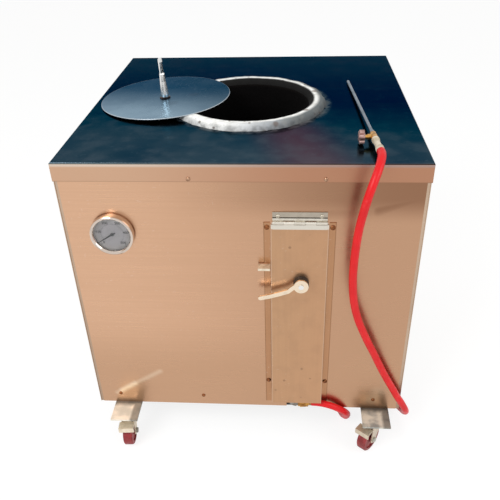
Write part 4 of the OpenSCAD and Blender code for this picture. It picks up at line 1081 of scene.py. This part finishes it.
class TANDOOR_OT_case(TandoorStep):
    """Finishes the case's sheets and the top"""

    bl_idname = "tandoor.case"
    bl_label = "Case"

    def make(self, scene):
        """The front, the sides and the rear, and the top with its turned-down edge."""
        look = scene.tandoor_sheet
        dress(front_sheet(look), "front_panel")
        dress(side_sheet(look), "left_panel", "right_panel", "rear_panel")
        dress(top_plate(scene.tandoor_top), "top_cover")


class TANDOOR_OT_door(TandoorStep):
    """Finishes the door, its hinge and its strips"""

    bl_idname = "tandoor.door"
    bl_label = "Door"

    def make(self, scene):
        """The flap, the two strips and keeper, the leaves and pin."""
        look = scene.tandoor_sheet
        dress(door_sheet(look), "door_panel")
        dress(strip_sheet(look), "side_strips")
        dress(keeper_plating(look), "latch_keeper")
        dress(hinge_plating(look), "hinge_leaf", "hinge_pin")


class TANDOOR_OT_latch(TandoorStep):
    """Finishes the latch"""

    bl_idname = "tandoor.latch"
    bl_label = "Latch"

    def make(self, scene):
        """The cast lever, its spindle and the black collar behind it."""
        look = scene.tandoor_small
        dress(polished("latch_casting", look.latch, 0.16), "latch_lever")
        dress(polished("latch_spindle", look.chrome, 0.15), "latch_spindle")
        dress(moulded("latch_collar", look.black, shade(34, 30, 28), 0.4), "latch_collar")


class TANDOOR_OT_ring(TandoorStep):
    """Lays the cement ring round the mouth"""

    bl_idname = "tandoor.ring"
    bl_label = "Mouth ring"

    def make(self, scene):
        """The ring fills the space of its solid, from the mouth's radius to the solid's edge."""
        look = scene.tandoor_ring
        outer, height = (RING_HIGH.x - RING_LOW.x) / 2, RING_HIGH.z - RING_LOW.z
        points = ring_points(MOUTH_R, outer, height, look.unevenness, look.around, look.across,
                             look.seed)
        points = worn_by_lid(points + (*MOUTH, TOP_Z))
        faces = grid_faces(look.across, look.around, wrap_rows=True, wrap_columns=True)
        ring = put_mesh("cement_ring", points, faces[:, ::-1], "root",
                        cement(scene.tandoor_top))
        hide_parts("mouth_ring")


class TANDOOR_OT_pot(TandoorStep):
    """Finishes the clay pot, the wool and the fire box"""

    bl_idname = "tandoor.pot"
    bl_label = "Pot"

    def make(self, scene):
        """The pot, the loose filling round it and the sheet box behind the door."""
        dress(pot_clay(scene.tandoor_top), "clay_pot")
        dress(mineral_wool(), "insulation")
        dress(sooted("fire_sheet", shade(130, 118, 104), shade(92, 76, 62), 0.6), "door_box",
              "throat_duct", "floor_plate")


class TANDOOR_OT_thermometer(TandoorStep):
    """Makes the thermometer's marks and numbers and finishes its case"""

    bl_idname = "tandoor.thermometer"
    bl_label = "Thermometer"

    def make(self, scene):
        """Two scales of marks lie on the dial, and the numbers stand inside the outer one."""
        look, small = scene.tandoor_dial, scene.tandoor_small
        # The case's warm tint is a painted reflection of the front sheet
        bright = polished("gauge_polish", small.gauge)
        dress(bright, "gauge_bezel", "gauge_case", "gauge_stem")
        dress(dial_card(look), "gauge_dial")
        dress(gauge_window(), "gauge_glass")
        ink = moulded("dial_ink", look.ink, shade(26, 26, 29), 0.5, size=0.004, grain=0.0004)
        dress(ink, "gauge_needle")
        steps = look.steps * look.small_steps
        order = np.arange(steps + 1)
        major = order % look.small_steps == 0
        half = order % look.small_steps == look.small_steps // 2
        inner, arc = np.arange(6 * look.steps + 1), np.arange(90)
        turns = (order / steps, inner / inner[-1], (arc + 0.5) / len(arc))
        inner_radius, arc_radius = 0.0262, 0.0266
        radii = (look.radius, inner_radius, arc_radius)
        long = (np.where(major, 0.0042, np.where(half, 0.003, 0.0019)), 0.0018, 0.0003)
        wide = (np.where(major, 0.001, 0.0005), 0.0003, 0.0015)
        radii, long, wide = (np.concatenate([np.broadcast_to(value, turn.shape)
                                             for value, turn in zip(kind, turns)])
                             for kind in (radii, long, wide))
        angles = look.start - look.sweep * np.concatenate(turns)
        points, faces = tick_boxes(radii, long, wide, angles, MARK_T)
        points += np.array(GAUGE)
        put_mesh("dial_marks", points, faces, "root", ink, smooth=False)
        low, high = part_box("gauge_needle")
        thick = high.y - low.y
        blade, faces = blade_points(look.needle, look.needle_angle, look.needle_width, 0.18 * thick)
        blade += (GAUGE[0], low.y + thick / 4, GAUGE[2])
        put_mesh("needle_blade", blade, faces, "needle", ink, smooth=False)
        self.numbers(scene, look, ink)

    def numbers(self, scene, look, ink):
        """Each number is set upright at its mark, and all of them become one mesh."""
        points, faces, used = [], [], 0
        for step in range(look.steps + 1):
            value = look.top_value * step // look.steps
            angle = look.start - look.sweep * step / look.steps
            curve = bpy.data.curves.new("number", "FONT")
            curve.body = str(value)
            curve.size = look.number_size
            curve.align_x = curve.align_y = "CENTER"
            curve.resolution_u = 3
            curve.extrude = NUMBER_T
            curve.offset = 0.0002
            letter = bpy.data.objects.new("number", curve)
            scene.collection.objects.link(letter)
            bpy.context.view_layer.update()
            solid = bpy.data.meshes.new_from_object(letter)
            flat = np.zeros(len(solid.vertices) * 3)
            solid.vertices.foreach_get("co", flat)
            flat = flat.reshape(-1, 3)
            reach = look.radius - NUMBER_INSET
            place = np.array((reach * math.cos(angle), 0, reach * math.sin(angle)))
            points.append(np.column_stack((flat[:, 0], -NUMBER_T - flat[:, 2], flat[:, 1])) + place)
            faces += [[used + i for i in face.vertices] for face in solid.polygons]
            used += len(flat)
            bpy.data.objects.remove(letter)
        points = np.vstack(points) + np.array(GAUGE)
        put_mesh("dial_numbers", points, faces, "root", ink, smooth=False)


class TANDOOR_OT_lid(TandoorStep):
    """Finishes the lid and its handle"""

    bl_idname = "tandoor.lid"
    bl_label = "Lid"

    def make(self, scene):
        """The plate, the collar under the handle and the turned handle."""
        small = scene.tandoor_small
        dress(lid_sheet(scene.tandoor_top), "lid_plate")
        dress(plated("lid_collar", shade(96, 78, 72), shade(30, 26, 26), 0.3), "lid_collar")
        dress(polished("handle_polish", small.chrome, 0.09), "lid_handle")


class TANDOOR_OT_wand(TandoorStep):
    """Finishes the lighting wand"""

    bl_idname = "tandoor.wand"
    bl_label = "Wand"

    def make(self, scene):
        """The tube, the valve, the star knob and the sleeve that the hose is pushed on."""
        small = scene.tandoor_small
        dress(plated("wand_tube", small.wand, shade(104, 118, 126), 0.28, size=0.03), "wand_tube")
        dress(plated("wand_valve", small.brass, shade(150, 110, 60), 0.3), "wand_valve")
        dress(plated("wand_knob", small.rose, shade(150, 116, 108), 0.3, 0.7), "wand_knob")
        dress(moulded("wand_sleeve", small.cream, shade(186, 172, 146), 0.35), "wand_sleeve")


class TANDOOR_OT_gas(TandoorStep):
    """Finishes the burner, its pipes and its valve"""

    bl_idname = "tandoor.gas"
    bl_label = "Gas parts"

    def make(self, scene):
        """Grey pipes, brass fittings, the cast burner and the dipped lever."""
        small = scene.tandoor_small
        casting = sooted("burner_casting", shade(64, 62, 62), shade(38, 34, 32), 0.5, 0.5, 0.6)
        piping = plated("gas_piping", small.grey, shade(116, 108, 98), 0.42)
        brass = plated("fitting_brass", small.brass, shade(140, 96, 50), 0.26)
        dress(casting, "burner")
        dress(piping, "gas_pipe", "burner_pipe")
        dress(brass, "hose_elbow", "burner_valve")
        dress(moulded("dipped_grip", shade(176, 40, 36), shade(140, 28, 26), 0.4), "valve_lever")


class TANDOOR_OT_frame(TandoorStep):
    """Finishes the base frame and the corner posts"""

    bl_idname = "tandoor.frame"
    bl_label = "Frame"

    def make(self, scene):
        """Painted angle iron with chipped, dusty paint."""
        dress(sooted("frame_paint", shade(112, 114, 110), shade(84, 84, 80), 0.35, 0.3, 0.5),
              "base_frame", "corner_posts")


class TANDOOR_OT_casters(TandoorStep):
    """Finishes the casters, their plates, bolts and pedals"""

    bl_idname = "tandoor.casters"
    bl_label = "Casters"

    def make(self, scene):
        """Dull zinc on the plates, yellowed plating on forks and pedals, dusty red wheels."""
        small = scene.tandoor_small
        dress(caster_zinc(small), "foot_plates", "caster_plates", "caster_bolts",
              *caster_nodes("axle"))
        # The right-hand forks and pedals take a darker tone: painted shade
        dress(plated("fork_plating", small.fork, shade(214, 200, 176), 0.3, 0.6, 0.2, 0.02,
                     shade(196, 180, 160)), *caster_nodes("fork", "pedal"))
        dress(moulded("wheel_rubber", small.wheel, shade(118, 20, 26), 0.45, dust=0.18),
              *caster_nodes("wheel"))


class TANDOOR_OT_screws(TandoorStep):
    """Finishes the screws of the sheets"""

    bl_idname = "tandoor.screws"
    bl_label = "Screws"

    def make(self, scene):
        """Plain steel heads, a little rusty."""
        dress(screw_metal(scene.tandoor_small), "panel_screws")


class TANDOOR_OT_stage(TandoorStep):
    """Makes the floor, the lamps and the world"""

    bl_idname = "tandoor.stage"
    bl_label = "Stage"

    def make(self, scene):
        """A pale floor, one main lamp and one fill lamp, and a plain world that shows white."""
        look = scene.tandoor_stage
        scene.view_settings.view_transform = "Standard"
        mesh = bpy.data.meshes.new("floor")
        reach = 30
        corners = [(-reach, -reach, 0), (reach, -reach, 0), (reach, reach, 0), (-reach, reach, 0)]
        mesh.from_pydata(corners, [], [(0, 1, 2, 3)])
        floor = bpy.data.objects.new("floor", mesh)
        scene.collection.objects.link(floor)
        skin = Skin("floor_paint", 0.9, 0.0, look.floor, Specular_IOR_Level=0.1)
        skin.lay(skin.cloudy(0.8, 0.2, 0.8), shade(240, 240, 240), 0.06)
        made, tree, shader = skin.done(), skin.tree, skin.shader
        white = put(tree, "ShaderNodeEmission", {"Color": (1.0, 1.0, 1.0, 1.0), "Strength": 1.09})
        glow = times(tree, seen(tree), look.glow)
        wires = {0: glow, 1: shader.outputs[0], 2: white.outputs[0]}
        both = put(tree, "ShaderNodeMixShader", wires)
        tree.links.new(both.outputs[0], tree.nodes["Material Output"].inputs["Surface"])
        mesh.materials.append(made)
        for name, place, size, power in (("main_lamp", (-1.5, -2.3, 2.9), 1.6, look.key),
                                         ("fill_lamp", (2.4, -1.4, 2.0), 1.8, look.fill)):
            lamp = bpy.data.lights.new(name, "AREA")
            lamp.energy = power
            lamp.size = size
            way = np.array((0.0, 0.0, 0.45)) - np.array(place)
            way /= np.linalg.norm(way)
            side = np.cross(way, (0, 0, 1))
            side /= np.linalg.norm(side)
            placed(name, lamp, place, side, np.cross(side, way), -way)
        world = bpy.data.worlds.new("studio")
        world.use_nodes = True
        tree = world.node_tree
        sky = tree.nodes["Background"]
        strength = plus(tree, times(tree, seen(tree), 1.0 - look.ambient), look.ambient)
        tree.links.new(strength, sky.inputs["Strength"])
        sky.inputs["Color"].default_value = (1, 1, 1, 1)
        scene.world = world


STEPS = (
    TANDOOR_OT_camera, TANDOOR_OT_hose, TANDOOR_OT_case, TANDOOR_OT_door, TANDOOR_OT_latch,
    TANDOOR_OT_ring, TANDOOR_OT_pot, TANDOOR_OT_thermometer, TANDOOR_OT_lid, TANDOOR_OT_wand,
    TANDOOR_OT_gas, TANDOOR_OT_frame, TANDOOR_OT_casters, TANDOOR_OT_screws, TANDOOR_OT_stage,
)


class TANDOOR_PT_panel(bpy.types.Panel):
    """Lists the tandoor's settings and steps"""

    bl_idname = "TANDOOR_PT_panel"
    bl_label = "Tandoor"
    bl_space_type = "VIEW_3D"
    bl_region_type = "UI"
    bl_category = "Tandoor"

    def draw(self, context):
        """The steps as buttons, then each group of settings."""
        for step in STEPS:
            self.layout.operator(step.bl_idname)
        for name, group in SETTINGS.items():
            box = self.layout.box()
            box.label(text=group.__doc__.strip())
            for setting in group.__annotations__:
                box.prop(getattr(context.scene, name), setting)


def register():
    """Registers the settings, the steps and the panel."""
    for name, group in SETTINGS.items():
        bpy.utils.register_class(group)
        setattr(bpy.types.Scene, name, bpy.props.PointerProperty(type=group))
    for made in (*STEPS, TANDOOR_PT_panel):
        bpy.utils.register_class(made)


def unregister():
    """Takes back what register added."""
    for made in reversed((*STEPS, TANDOOR_PT_panel)):
        bpy.utils.unregister_class(made)
    for name, group in SETTINGS.items():
        delattr(bpy.types.Scene, name)
        bpy.utils.unregister_class(group)


def main():
    """Registers the add-on and runs its steps in order."""
    register()
    build_effects()
    for step in STEPS:
        family, name = step.bl_idname.split(".")
        getattr(getattr(bpy.ops, family), name)()


if __name__ == "__main__":
    main()
